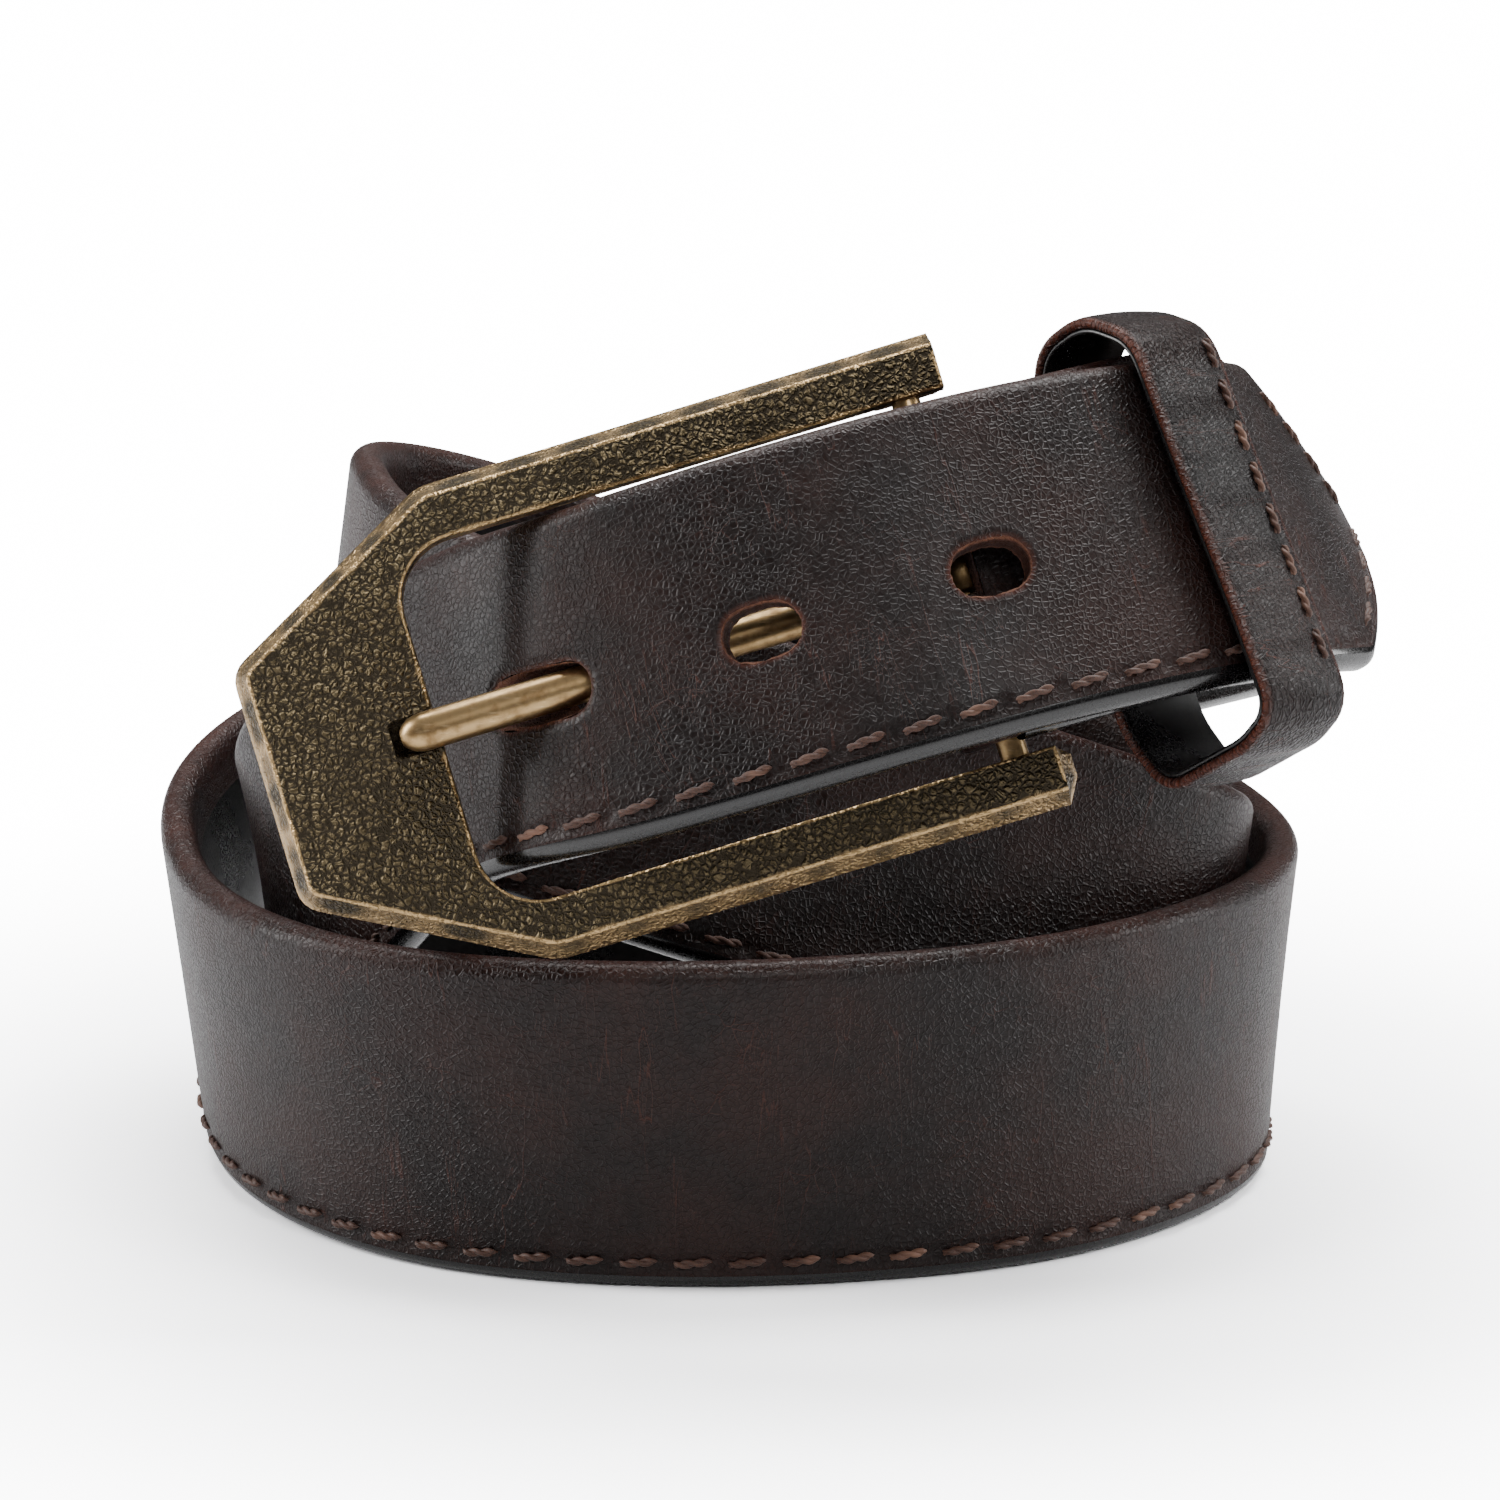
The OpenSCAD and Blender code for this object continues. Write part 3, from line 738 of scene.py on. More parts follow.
class Palette:
    """Every material of the belt."""

    def __init__(self) -> None:
        """Builds the groups and the materials."""
        hide, creases, pebbles = hide_group(), crease_group(), pebble_group()
        lilac = (0.86, 0.78, 0.84, 1.0)
        self.cover = HideFinish(
            "waxed_hide", (0.0062, 0.0023, 0.0017, 1), (0.022, 0.0072, 0.0048, 1),
            (0.085, 0.024, 0.0135, 1), roughness=0.36, coat=0.08, coat_roughness=0.22, specular=0.28,
            sheen=0.015, sheen_roughness=0.4, sheen_tint=lilac, bump=0.7, bump_mm=0.28,
        ).build(hide, creases)
        self.keeper = HideFinish(
            "keeper_hide", (0.0045, 0.0017, 0.0013, 1), (0.018, 0.006, 0.004, 1),
            (0.12, 0.033, 0.018, 1), roughness=0.33, coat=0.08, coat_roughness=0.22, specular=0.28,
            sheen=0.01, sheen_roughness=0.4, sheen_tint=lilac, bump=1.0, bump_mm=0.6,
            wrinkle=3.0, crease=1.8,
        ).build(hide, creases)
        self.lining = HideFinish(
            "smooth_lining", (0.0028, 0.0025, 0.0026, 1), (0.006, 0.0048, 0.0047, 1),
            (0.02, 0.012, 0.01, 1), roughness=0.28, coat=0.25, coat_roughness=0.16,
            bump=0.25, bump_mm=0.1, grain=0.3, wrinkle=0.7, crease=0.3,
        ).build(hide, creases)
        self.core = HideFinish(
            "raw_fibre", (0.03, 0.009, 0.005, 1), (0.1, 0.032, 0.016, 1),
            (0.22, 0.085, 0.045, 1), roughness=0.7, bump=0.8, bump_mm=0.25, wrinkle=2.0,
        ).build(hide, creases)
        self.edge = HideFinish(
            "edge_dressing", (0.0025, 0.0022, 0.0024, 1), (0.005, 0.0042, 0.0042, 1),
            (0.015, 0.009, 0.008, 1), roughness=0.2, coat=0.45, coat_roughness=0.12,
            bump=0.2, bump_mm=0.1, grain=0.2, wrinkle=0.8, crease=0.2,
        ).build(hide, creases)
        self.thread = ThreadFinish(
            "waxed_thread", (0.028, 0.0105, 0.006, 1), (0.105, 0.043, 0.025, 1),
            (0.22, 0.11, 0.07, 1), roughness=0.5, sheen=0.1, bump=0.5, bump_mm=0.06,
        ).build()
        # cast_brass: its dark colour is for the channels, partly patina and partly painted shade.
        self.cast = CastFinish(
            "cast_brass", (0.04, 0.03, 0.017, 1), (0.155, 0.119, 0.067, 1),
            (0.52, 0.35, 0.17, 1), roughness=0.34, metallic=1.0, bump=1.0, bump_mm=0.5,
        ).build(pebbles)
        self.satin = SatinFinish(
            "satin_brass", (0.28, 0.175, 0.08, 1), (0.52, 0.35, 0.17, 1),
            (0.72, 0.53, 0.3, 1), roughness=0.28, metallic=1.0, bump=0.15, bump_mm=0.05,
        ).build()


@dataclass
class Hole:
    """One punched hole, in strap coordinates."""

    s: float
    w: float
    length: float
    height: float
    shift_out: float = 0.0
    shift_in: float = 0.0

    @property
    def flat(self) -> float:
        """Half the straight stretch between the oval's two round ends."""
        return (self.length - self.height) / 2

    def shift(self, inner: bool) -> float:
        """How far the hole is moved along the strap, at the inner or the outer face."""
        return self.shift_in if inner else self.shift_out

    def outline(self, angle: np.ndarray, grow: float, shift: float) -> tuple[np.ndarray, np.ndarray]:
        """Points of the oval.

        Args:
            angle: Angles in radians.
            grow: Extra radius.
            shift: Move along the strap.

        Returns:
            Distances along and across the strap.
        """
        r = self.height / 2 + grow
        c, q = np.cos(angle), np.sin(angle)
        squash = np.sign(c) * np.minimum(np.abs(c) * 1.6, 1.0)
        return self.s + shift + r * c + self.flat * squash, self.w + r * q

    def reach(self, s: np.ndarray, w: np.ndarray, shift: float) -> np.ndarray:
        """Distance from the oval's rim.

        Args:
            s: Distances along.
            w: Distances across.
            shift: Move of the hole along the strap.

        Returns:
            Distances, negative inside.
        """
        x = np.maximum(np.abs(s - self.s - shift) - self.flat, 0.0)
        return np.hypot(x, w - self.w) - self.height / 2

    def snap(self, s: np.ndarray, w: np.ndarray, shift: float) -> tuple[np.ndarray, np.ndarray]:
        """Moves points onto the rim.

        Args:
            s: Distances along.
            w: Distances across.
            shift: Move of the hole along the strap.

        Returns:
            Distances along and across, on the rim.
        """
        mid = np.clip(s - self.s - shift, -self.flat, self.flat)
        x = s - self.s - shift - mid
        y = w - self.w
        r = np.maximum(np.hypot(x, y), 1e-6)
        k = self.height / 2 / r
        return self.s + shift + mid + x * k, self.w + y * k


@dataclass
class Strap:
    """The coiled strap: cover, lining, painted edge, hole walls and seam."""

    sizes: StrapSizes
    route: Route
    palette: Palette

    def __post_init__(self) -> None:
        """Places the holes; the one in use is worn longer by the tongue."""
        z = self.sizes
        used = self.route.total - z.used_hole_from_tip
        self.holes = [Hole(used + k * z.hole_pitch, -z.hole_drop, z.hole_length, z.hole_height)
                      for k in (-2, -1, 0, 1, 2)]
        mid = self.holes[2]
        mid.length = z.hole_length + 5.2
        mid.shift_out, mid.shift_in = -1.5, 7.9

    def squeeze(self, s: np.ndarray) -> np.ndarray:
        """Share of the full width that is left, for the pointed tip.

        Args:
            s: Distances along.

        Returns:
            Shares from 0 to 1.
        """
        z = self.sizes
        d = np.clip(self.route.total - s, 0, None)
        side = z.nose_half + (z.half_w - z.nose_half) * (d - z.nose) / (z.point - z.nose)
        nose = z.nose_half * np.sqrt(np.clip(1 - ((z.nose - d) / z.nose) ** 2, 0, 1))
        half = np.where(d >= z.point, z.half_w, np.where(d >= z.nose, side, nose))
        return np.maximum(half, 0.35) / z.half_w

    def stations(self) -> np.ndarray:
        """Distances along the strap, closer together round each hole and at the tip.

        Returns:
            Rising distances, from the bar to the tip.
        """
        near_tip, near_hole = 24, 9
        coarse = np.arange(0, self.route.total - near_tip, 1.5)
        near = [np.arange(h.s - near_hole, h.s + near_hole, 0.45) for h in self.holes]
        taper = [near_tip - 0.8 * i for i in range(23)]
        nose = [5, 4.4, 3.8, 3.2, 2.6, 2, 1.5, 1.1, 0.8, 0.5, 0.3, 0.15, 0]
        tip = self.route.total - np.array(taper + nose)
        for h in self.holes:
            coarse = coarse[(coarse < h.s - 9.2) | (coarse > h.s + 9.2)]
        every = np.unique(np.round(np.concatenate([coarse, *near, tip]), 3))
        return every[(every >= 0) & (every <= self.route.total)]

    def drift(self, s: np.ndarray) -> np.ndarray:
        """Slight unevenness of the hand, outward."""
        return 0.09 * np.sin(s / 13.0 + 1.3) + 0.06 * np.sin(s / 5.7) + 0.05 * np.sin(s / 31.0)

    def punch(self, s: np.ndarray, w: np.ndarray, n: np.ndarray, inner: bool) -> tuple:
        """Opens the holes in a grid and draws its cells onto their rims.

        Args:
            s: Distances along.
            w: Distances across.
            n: Distances outward.
            inner: Whether it is the inner face.

        Returns:
            Which cells stay, then the three distances.
        """
        keep = np.ones((s.shape[0] - 1, s.shape[1] - 1), bool)
        for h in self.holes:
            shift = h.shift(inner)
            mid_s = (s[:-1, :-1] + s[1:, 1:]) / 2
            mid_w = (w[:-1, :-1] + w[1:, 1:]) / 2
            inside = h.reach(mid_s, mid_w, shift) < 0
            keep &= ~inside
            touch = np.zeros(s.shape, bool)
            for a in (0, 1):
                for b in (0, 1):
                    touch[a:a + inside.shape[0], b:b + inside.shape[1]] |= inside
            rim = touch & (h.reach(s, w, shift) > -1.2)
            rim_s, rim_w = h.snap(s, w, shift)
            s = np.where(rim, rim_s, s)
            w = np.where(rim, rim_w, w)
            away = np.clip(h.reach(s, w, shift), 0, 3)
            n = n - np.sign(n) * 0.34 * np.exp(-((away / 0.5) ** 2))
        return keep, s, w, n

    def pull(self, s: np.ndarray, w: np.ndarray, n: np.ndarray) -> np.ndarray:
        """Sinks the face along the seam, deeper at each needle hole.

        Args:
            s: Distances along.
            w: Distances across.
            n: Distances outward.

        Returns:
            The new distances outward.
        """
        z = self.sizes
        seam = -(z.half_w - z.seam_from_edge)
        phase = (s % z.stitch_pitch) / z.stitch_pitch
        pinch = 0.12 + 0.3 * np.exp(-((np.minimum(phase, 1 - phase) / 0.09) ** 2))
        return n - np.where(n > 0, pinch * np.exp(-(((w - seam) / 0.8) ** 2)), 0)

    def sheet(self, s: np.ndarray, across: list, holes: bool, inner: bool) -> tuple:
        """A strip of the strap's skin.

        Args:
            s: Stations.
            across: Rows of (w, n, length round the section, rub).
            holes: Whether the punched holes open it.
            inner: Whether it is the inner face.

        Returns:
            The grid, and its run and rub attributes.
        """
        z = self.sizes
        rows = np.array(across)
        big_s = np.repeat(s[:, None], len(rows), axis=1)
        big_w, big_n, girth, rub = (np.repeat(rows[None, :, i], len(s), axis=0) for i in range(4))
        keep = None
        if holes:
            keep, big_s, big_w, big_n = self.punch(big_s, big_w, big_n, inner)
        if holes and not inner:
            big_n = self.pull(big_s, big_w, big_n)
        big_n = big_n + self.drift(big_s)
        points = self.route.at(big_s, big_w * self.squeeze(s)[:, None], big_n)
        tip = np.clip((z.point - (self.route.total - big_s)) / z.point, 0, 1)
        rub = np.maximum(rub, tip * np.clip((np.abs(big_w) - 14) / 5, 0, 1))
        for h in self.holes if holes else ():
            away = np.clip(h.reach(big_s, big_w, h.shift(inner)), 0, 9)
            rub = np.maximum(rub, 0.8 * np.exp(-((away / 0.45) ** 2)))
        run = np.stack([big_s, girth, np.zeros_like(big_s)], axis=-1).reshape(-1, 3)
        return Shape.grid(points, keep), run, rub.ravel()

    def build(self) -> None:
        """Makes every piece of the strap."""
        s = self.stations()
        self.cover(s)
        self.lining(s)
        self.edge(s)
        self.walls()
        self.seam()
        self.tip_seam()

    @property
    def turned(self) -> float:
        """Height across the strap where the cover, turned over the top edge, ends inside."""
        return self.sizes.roll_w - self.sizes.turn + 2

    def cover(self, s: np.ndarray) -> None:
        """The outer leather: the face, the rolled top edge and the turned-over strip.

        Args:
            s: Stations.
        """
        z = self.sizes
        rows = [(-17.35, z.half_t - 0.05, -17.35, 0.35), (-17.2, z.half_t, -17.2, 0.25)]
        rows += [(w, z.half_t, w, 0.12 * max(0.0, (abs(w) - 12) / 5))
                 for w in np.arange(-16.9, 16.9, 0.45)]
        for a in np.radians(np.linspace(0, 180, 19)):
            rows.append((z.roll_w + z.half_t * math.sin(a), z.half_t * math.cos(a),
                         z.roll_w + z.half_t * a, 0.1 + 0.32 * math.sin(a) if a < 2.6 else 0.2))
        round_top = z.roll_w + z.half_t * math.pi
        rows += [(w, -z.half_t - 0.12, round_top + z.roll_w - w, 0.1)
                 for w in np.arange(z.roll_w - 0.6, self.turned, -0.6)]
        rows += [(self.turned, -z.half_t - 0.1, round_top + 6, 0.5),
                 (self.turned - 0.1, -z.half_t + 0.3, round_top + 6.3, 0.5)]
        grid, run, rub = self.sheet(s, rows, True, False)
        cover = Shape.piece("cover_leather_of_strap", [grid], {"run": run, "rub": rub})
        Shape.finish(cover, Body.STRAP, Slot.COVER, self.palette.cover, ("strap_cover",))

    def lining(self, s: np.ndarray) -> None:
        """The smooth leather of the inner face.

        Args:
            s: Stations.
        """
        z = self.sizes
        rows = [(w, -z.half_t + 0.02, 60 + w, 0.0) for w in np.arange(self.turned + 0.2, -17.0, -0.45)]
        rows += [(-17.2, -z.half_t, 42.8, 0.1), (-17.35, -z.half_t + 0.05, 42.6, 0.2)]
        grid, run, rub = self.sheet(s, rows, True, True)
        lining = Shape.piece("lining_leather", [grid], {"run": run, "rub": rub})
        Shape.finish(lining, Body.STRAP, Slot.LINING, self.palette.lining, ("strap_lining",))

    def edge(self, s: np.ndarray) -> None:
        """The rounded bead of dressing on the cut lower edge.

        Args:
            s: Stations.
        """
        z = self.sizes
        rows = [(-17.3 - 1.7 * math.sin(a), z.half_t * math.cos(a), 100 + 2 * a,
                 0.15 if a < 0.5 else 0.0) for a in np.radians(np.linspace(0, 180, 17))]
        grid, run, rub = self.sheet(s, rows, False, False)
        edge = Shape.piece("painted_lower_edge", [grid], {"run": run, "rub": rub})
        Shape.finish(edge, Body.STRAP, Slot.EDGE, self.palette.edge, ("strap_edge_paint",))

    def walls(self) -> None:
        """Raw leather seen inside each hole, and the core's cut ends."""
        z = self.sizes
        parts, runs, rubs = [], [], []
        angle = np.linspace(0, 2 * math.pi, 72, endpoint=False)
        depth = np.array([1.0, 0.86, 0.6, 0.3, 0.0, -0.3, -0.6, -0.86, -1.0])
        for h in self.holes:
            rows_s, rows_w, rows_n = [], [], []
            for d in depth:
                share = (1 - d) / 2
                shift = h.shift_out * (1 - share) + h.shift_in * share
                grow = 0.04 + 0.2 * max(0.0, abs(d) - 0.8) / 0.2
                grow -= 0.1 * math.cos(d * math.pi * 2.5)
                ss, ww = h.outline(angle, grow - 0.12, shift)
                rough = 0.05 * np.sin(angle * 11 + d * 9) + 0.04 * np.sin(angle * 23 - d * 5)
                rows_s.append(ss + rough * np.cos(angle))
                rows_w.append(ww + rough * np.sin(angle))
                rows_n.append(np.full_like(ss, d * (z.half_t - 0.3)) + self.drift(ss))
            a, b, c = map(np.array, (rows_s, rows_w, rows_n))
            parts.append(Shape.grid(self.route.at(a, b, c), None, True))
            runs.append(np.stack([a, c * 2 + 30, b], axis=-1).reshape(-1, 3))
            rubs.append(np.repeat(np.clip(np.abs(depth) * 1.2 - 0.4, 0, 1), len(angle)))
        end_s = np.zeros((9, 9))
        end_w, end_n = np.meshgrid(np.linspace(-18.2, 17.6, 9), np.linspace(-1.9, 1.9, 9))
        parts.append(Shape.grid(self.route.at(end_s, end_w, end_n)))
        runs.append(np.stack([end_n, end_w, end_s], axis=-1).reshape(-1, 3))
        rubs.append(np.zeros(81))
        core = Shape.piece("core_leather_at_holes", parts,
                           {"run": np.concatenate(runs), "rub": np.concatenate(rubs)})
        Shape.finish(core, Body.STRAP, Slot.CORE, self.palette.core, ("strap_core",))

    def seam(self) -> None:
        """Twisted stitches along the lower edge."""
        z = self.sizes
        w = -(z.half_w - z.seam_from_edge)
        first = 10.0
        count = int((self.route.total - z.point - 6 - first) / z.stitch_pitch)
        starts = first - first % z.stitch_pitch + z.stitch_pitch * np.arange(count)
        parts = []
        for a in starts:
            lo = a + (z.stitch_pitch - z.stitch_length) / 2
            parts += Stitch.pair(self.route, lo, w - 0.25, lo + z.stitch_length, w + 0.25,
                                 z.half_t - 0.05, self.drift)
        thread = Shape.piece("seam_thread_along_lower_edge", parts)
        Shape.finish(thread, Body.STRAP, Slot.THREAD, self.palette.thread, ("strap_seam_thread",))

    def tip_seam(self) -> None:
        """The V of stitches round the tip."""
        z = self.sizes
        parts = []
        for sign in (-1, 1):
            for d, w in ((16.0, 14.2), (12.4, 10.8), (8.8, 7.3), (5.4, 4.0)):
                s = self.route.total - d
                parts += Stitch.pair(self.route, s - 0.2, sign * (w + 0.2), s + 2.5,
                                     sign * (w - 2.3), z.half_t - 0.05, self.drift)
        thread = Shape.piece("seam_thread_round_tip", parts)
        Shape.finish(thread, Body.STRAP, Slot.THREAD, self.palette.thread, ("tip_point_thread",))


class Stitch:
    """One stitch as two plies twisted round each other."""

    @staticmethod
    def arch(k: np.ndarray) -> np.ndarray:
        """Height of the thread above its needle holes, at shares of its length."""
        return 0.42 * np.sqrt(np.clip(1 - (2 * k - 1) ** 4, 0, 1)) - 0.3

    @staticmethod
    def pair(route: Route, s0: float, w0: float, s1: float, w1: float, n: float,
             drift: Callable[[np.ndarray], np.ndarray]) -> list:
        """Two plies from one needle hole to the next, on the strap's surface.

        Args:
            route: The strap's route.
            s0: Distance along at the start.
            w0: Distance across at the start.
            s1: Distance along at the end.
            w1: Distance across at the end.
            n: Height above the centre surface.
            drift: Outward unevenness of the strap.

        Returns:
            Two grids.
        """
        k = np.linspace(0, 1, STITCH_STEPS)
        s = s0 + (s1 - s0) * k
        w = w0 + (w1 - w0) * k
        centre = route.at(s, w, n + Stitch.arch(k) + drift(s))
        _, t, across, out = route.frames(s)
        return Stitch.plies(centre, across, out, k)

    @staticmethod
    def plies(centre: np.ndarray, across: np.ndarray, out: np.ndarray, k: np.ndarray) -> list:
        """Two twisted tubes round a centre line.

        Args:
            centre: Points of the line, in metres.
            across: Sideways direction at each point.
            out: Outward direction at each point.
            k: Share of the length at each point.

        Returns:
            Two grids.
        """
        parts = []
        for phase in (0.0, math.pi):
            turn = phase + k * math.pi * 2.6
            off = 0.2 * MM * (across * np.cos(turn)[:, None] + out * np.sin(turn)[:, None])
            line = centre + off
            r = 0.33 * MM * np.sqrt(np.clip(1 - (2 * k - 1) ** 6, 0.04, 1))
            a = np.linspace(0, 2 * math.pi, 7, endpoint=False)
            ring = (across[:, None, :] * np.cos(a)[None, :, None]
                    + out[:, None, :] * np.sin(a)[None, :, None]) * r[:, None, None]
            parts.append(Shape.grid(line[:, None, :] + ring, None, True))
        return parts


@dataclass(frozen=True)
class BuckleSizes:
    """Sizes of the buckle, in millimetres."""

    length: float = 82.0
    past_bar: float = 4.4
    open_half: float = 20.5
    arm: float = 5.0
    end: float = 18.4
    cut_l: float = 24.0
    cut_h: float = 13.0
    thick: float = 3.8
    flare: float = 1.6
    corner: float = 7.0
    bar_d: float = 3.2
    bar_z: float = -0.9
    tilt: float = 17.0
    lug: float = 8.4
    lug_back: float = 3.7
    tongue_d: float = 4.3
    tongue_y: float = 0.8
    tongue_z0: float = 0.8
    tongue_z1: float = 2.7
    eye_r: float = 3.2
    eye_w: float = 5.0


class BuckleFrame:
    """The buckle's own axes, standing on the strap's first station."""

    def __init__(self, sizes: BuckleSizes, strap: StrapSizes, route: Route) -> None:
        """Finds the axes.

        Args:
            sizes: The buckle's sizes.
            strap: The strap's sizes.
            route: The strap's route.
        """
        place, t, across, out = (v[0] for v in route.frames(np.array([0.0])))
        a = math.radians(sizes.tilt)
        self.t, self.out = t, out
        self.y = across
        self.x = t * math.cos(a) + out * math.sin(a)
        self.z = np.cross(self.x, self.y)
        self.bar = place - out * (sizes.bar_d / 2 + 0.05 + strap.half_t)
        self.origin = self.bar - self.z * sizes.bar_z

    def to_row(self, p: np.ndarray) -> np.ndarray:
        """Points of the buckle's axes in the frame of the whole belt.

        Args:
            p: Points in millimetres.

        Returns:
            Points in metres.
        """
        p = np.asarray(p, dtype=float)
        return (self.origin + p[..., :1] * self.x + p[..., 1:2] * self.y
                + p[..., 2:3] * self.z) * MM

    def fold_to_row(self, p: np.ndarray) -> np.ndarray:
        """Points (along, across, out) from the bar, in the frame of the whole belt.

        Args:
            p: Points in millimetres.

        Returns:
            Points in metres.
        """
        p = np.asarray(p, dtype=float)
        return (self.bar + p[..., :1] * self.t + p[..., 1:2] * self.y
                + p[..., 2:3] * self.out) * MM


@dataclass
class Buckle:
    """Open-sided cast frame, its heel bar and the tongue."""

    sizes: BuckleSizes
    axes: BuckleFrame
    palette: Palette

    def build(self) -> None:
        """Makes the frame and the tongue and dresses the bar."""
        self.plate()
        self.tongue()
        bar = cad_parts["heel_bar"]
        for slot in bar.material_slots:
            slot.material = self.palette.satin
        log.info("heel_bar keeps its CAD shape")

    @property
    def left(self) -> float:
        """Place of the closed end, along the buckle."""
        return self.sizes.past_bar - self.sizes.length

    @staticmethod
    def eased(before: tuple, corner: tuple, after: tuple, reach: float = 1.1) -> list:
        """Points of a corner that a short curve blunts.

        Args:
            before: The corner before it.
            corner: The corner.
            after: The corner after it.
            reach: How far from the corner the curve starts.

        Returns:
            Pairs of coordinates.
        """
        tip = np.array(corner)
        a, b = np.array(before) - tip, np.array(after) - tip
        a, b = a / np.linalg.norm(a), b / np.linalg.norm(b)
        return [tuple((tip + a * reach) * (1 - k) ** 2 + tip * 2 * k * (1 - k)
                      + (tip + b * reach) * k * k) for k in (0.0, 0.25, 0.5, 0.75, 1.0)]

    def outline(self) -> tuple[np.ndarray, np.ndarray]:
        """The frame's outline as seen from the front.

        Returns:
            Closely spaced points, and which of them lie on the outside and flare.
        """
        z = self.sizes
        arm_y = z.open_half + z.arm
        inner = self.left + z.end
        corners = [(z.past_bar, arm_y), (self.left + z.cut_l, arm_y), (self.left, arm_y - z.cut_h),
                   (self.left, -arm_y + z.cut_h), (self.left + z.cut_l, -arm_y), (z.past_bar, -arm_y)]
        outside = [corners[0]]
        for i in range(1, len(corners) - 1):
            outside += self.eased(*corners[i - 1:i + 2])
        outside.append(corners[-1])
        r = z.corner
        inside = [(z.past_bar, -z.open_half)]
        inside += Shape.corner(inner + r, -z.open_half + r, r, 270, 180, 13)
        inside += Shape.corner(inner + r, z.open_half - r, r, 180, 90, 13)
        inside.append((z.past_bar, z.open_half))
        points = outside + inside
        dense, flares = [], []
        for i, p in enumerate(points):
            q = points[(i + 1) % len(points)]
            steps = max(1, int(math.dist(p, q) / 1.2))
            for k in range(steps):
                f = k / steps
                dense.append((p[0] * (1 - f) + q[0] * f, p[1] * (1 - f) + q[1] * f))
                flares.append(i < len(outside))
        return np.array(dense), np.array(flares)

    def plate(self) -> None:
        """The cast frame with eased edges, lugs and the rest for the tongue."""
        z = self.sizes
        arm_y = z.open_half + z.arm
        p, flares = self.outline()
        ahead = np.roll(p, -1, axis=0) - p
        behind = p - np.roll(p, 1, axis=0)
        ahead /= np.linalg.norm(ahead, axis=1)[:, None]
        behind /= np.linalg.norm(behind, axis=1)[:, None]
        along = ahead + behind
        along /= np.linalg.norm(along, axis=1)[:, None]
        out = np.stack([along[:, 1], -along[:, 0]], axis=1)
        reach = 1.0 / np.clip(np.sum(along * ahead, axis=1), 0.6, 1.0)
        ends = (p[:, 0] > z.past_bar - 0.01) & (np.abs(p[:, 1]) > arm_y - 0.01)
        out[ends] = np.column_stack([np.zeros(2), np.sign(p[ends, 1])])
        reach[ends] = 1.0
        out *= reach[:, None]
        h = z.thick / 2
        levels = [(-h, z.flare - 1.6, 0.1), (-h, z.flare - 0.8, 0.1), (-h, z.flare - 0.25, 0.5),
                  (-h + 0.12, z.flare - 0.06, 0.8),
                  (-h + 0.3, z.flare - 0.04, 0.9), (-0.6, z.flare * 0.62, 0.45),
                  (0.6, z.flare * 0.3, 0.4), (h - 0.32, 0.1, 0.45), (h - 0.16, 0.03, 0.9),
                  (h - 0.05, -0.07, 1.0), (h, -0.2, 0.85), (h, -0.4, 0.3), (h, -0.8, 0.0)]
        rings, rubs = [], []
        x = p[:, 0]
        wobble = 0.05 * np.sin(x * 0.9 + p[:, 1] * 0.7) + 0.04 * np.sin(p[:, 1] * 1.9)
        for height, push, rub in levels:
            inner_push = np.minimum(push, 0.0) if height > -h else np.minimum(push - z.flare, 0.0)
            push_out = np.where(flares, push, inner_push)
            push_out = push_out + (wobble * 0.5 if push < 0.1 else 0)
            q = p + out * push_out[:, None]
            rings.append(np.column_stack([q, np.full(len(q), height)]))
            rubs.append(np.clip(np.full(len(q), rub) + wobble * 3, 0, 1))
        verts, quads = Shape.grid(self.axes.to_row(np.array(rings)), None, True)
        count = len(p)
        last = (len(levels) - 1) * count
        caps = [list(range(last, last + count)), list(range(count - 1, -1, -1))]
        mesh = Shape.mesh("buckle_frame_cast", verts, quads.tolist() + caps,
                          {"rub": np.concatenate(rubs)}, split_caps=True)
        obj = Shape.place("buckle_frame_cast", mesh)
        self.cut_rest(obj)
        obj.data.shade_smooth()
        obj.data.set_sharp_from_angle(angle=math.radians(38))
        Shape.finish(obj, Body.BUCKLE, Slot.CAST, self.palette.cast, ("buckle_frame",))
        self.lugs()

    def cut_rest(self, obj: bpy.types.Object) -> None:
        """Sinks the round rest for the tongue into the closed end.

        Args:
            obj: The frame.
        """
        z = self.sizes
        inner = self.left + z.end
        around, last = 40, 2
        a = np.linspace(0, 2 * math.pi, around, endpoint=False)
        xs = np.array([inner - 5.2, inner - 4.6, inner + 3])
        r = np.array([1.9, 2.32, 2.32])
        pts = np.stack([np.repeat(xs[:, None], around, 1),
                        z.tongue_y + r[:, None] * np.cos(a)[None, :],
                        z.tongue_z1 - 0.05 + r[:, None] * np.sin(a)[None, :]], axis=-1)
        verts, quads = Shape.grid(self.axes.to_row(pts), None, True)
        caps = [list(range(around - 1, -1, -1)), [last * around + i for i in range(around)]]
        mesh = Shape.mesh("rest_cutter", verts, quads.tolist() + caps)
        cutter = Shape.place("rest_cutter", mesh)
        mod = obj.modifiers.new("rest", "BOOLEAN")
        mod.operation = "DIFFERENCE"
        mod.solver = "EXACT"
        mod.object = cutter
        bpy.context.view_layer.update()
        graph = bpy.context.evaluated_depsgraph_get()
        done = bpy.data.meshes.new_from_object(obj.evaluated_get(graph))
        obj.modifiers.clear()
        obj.data = done
        bpy.data.objects.remove(cutter)
        bpy.data.meshes.remove(mesh)

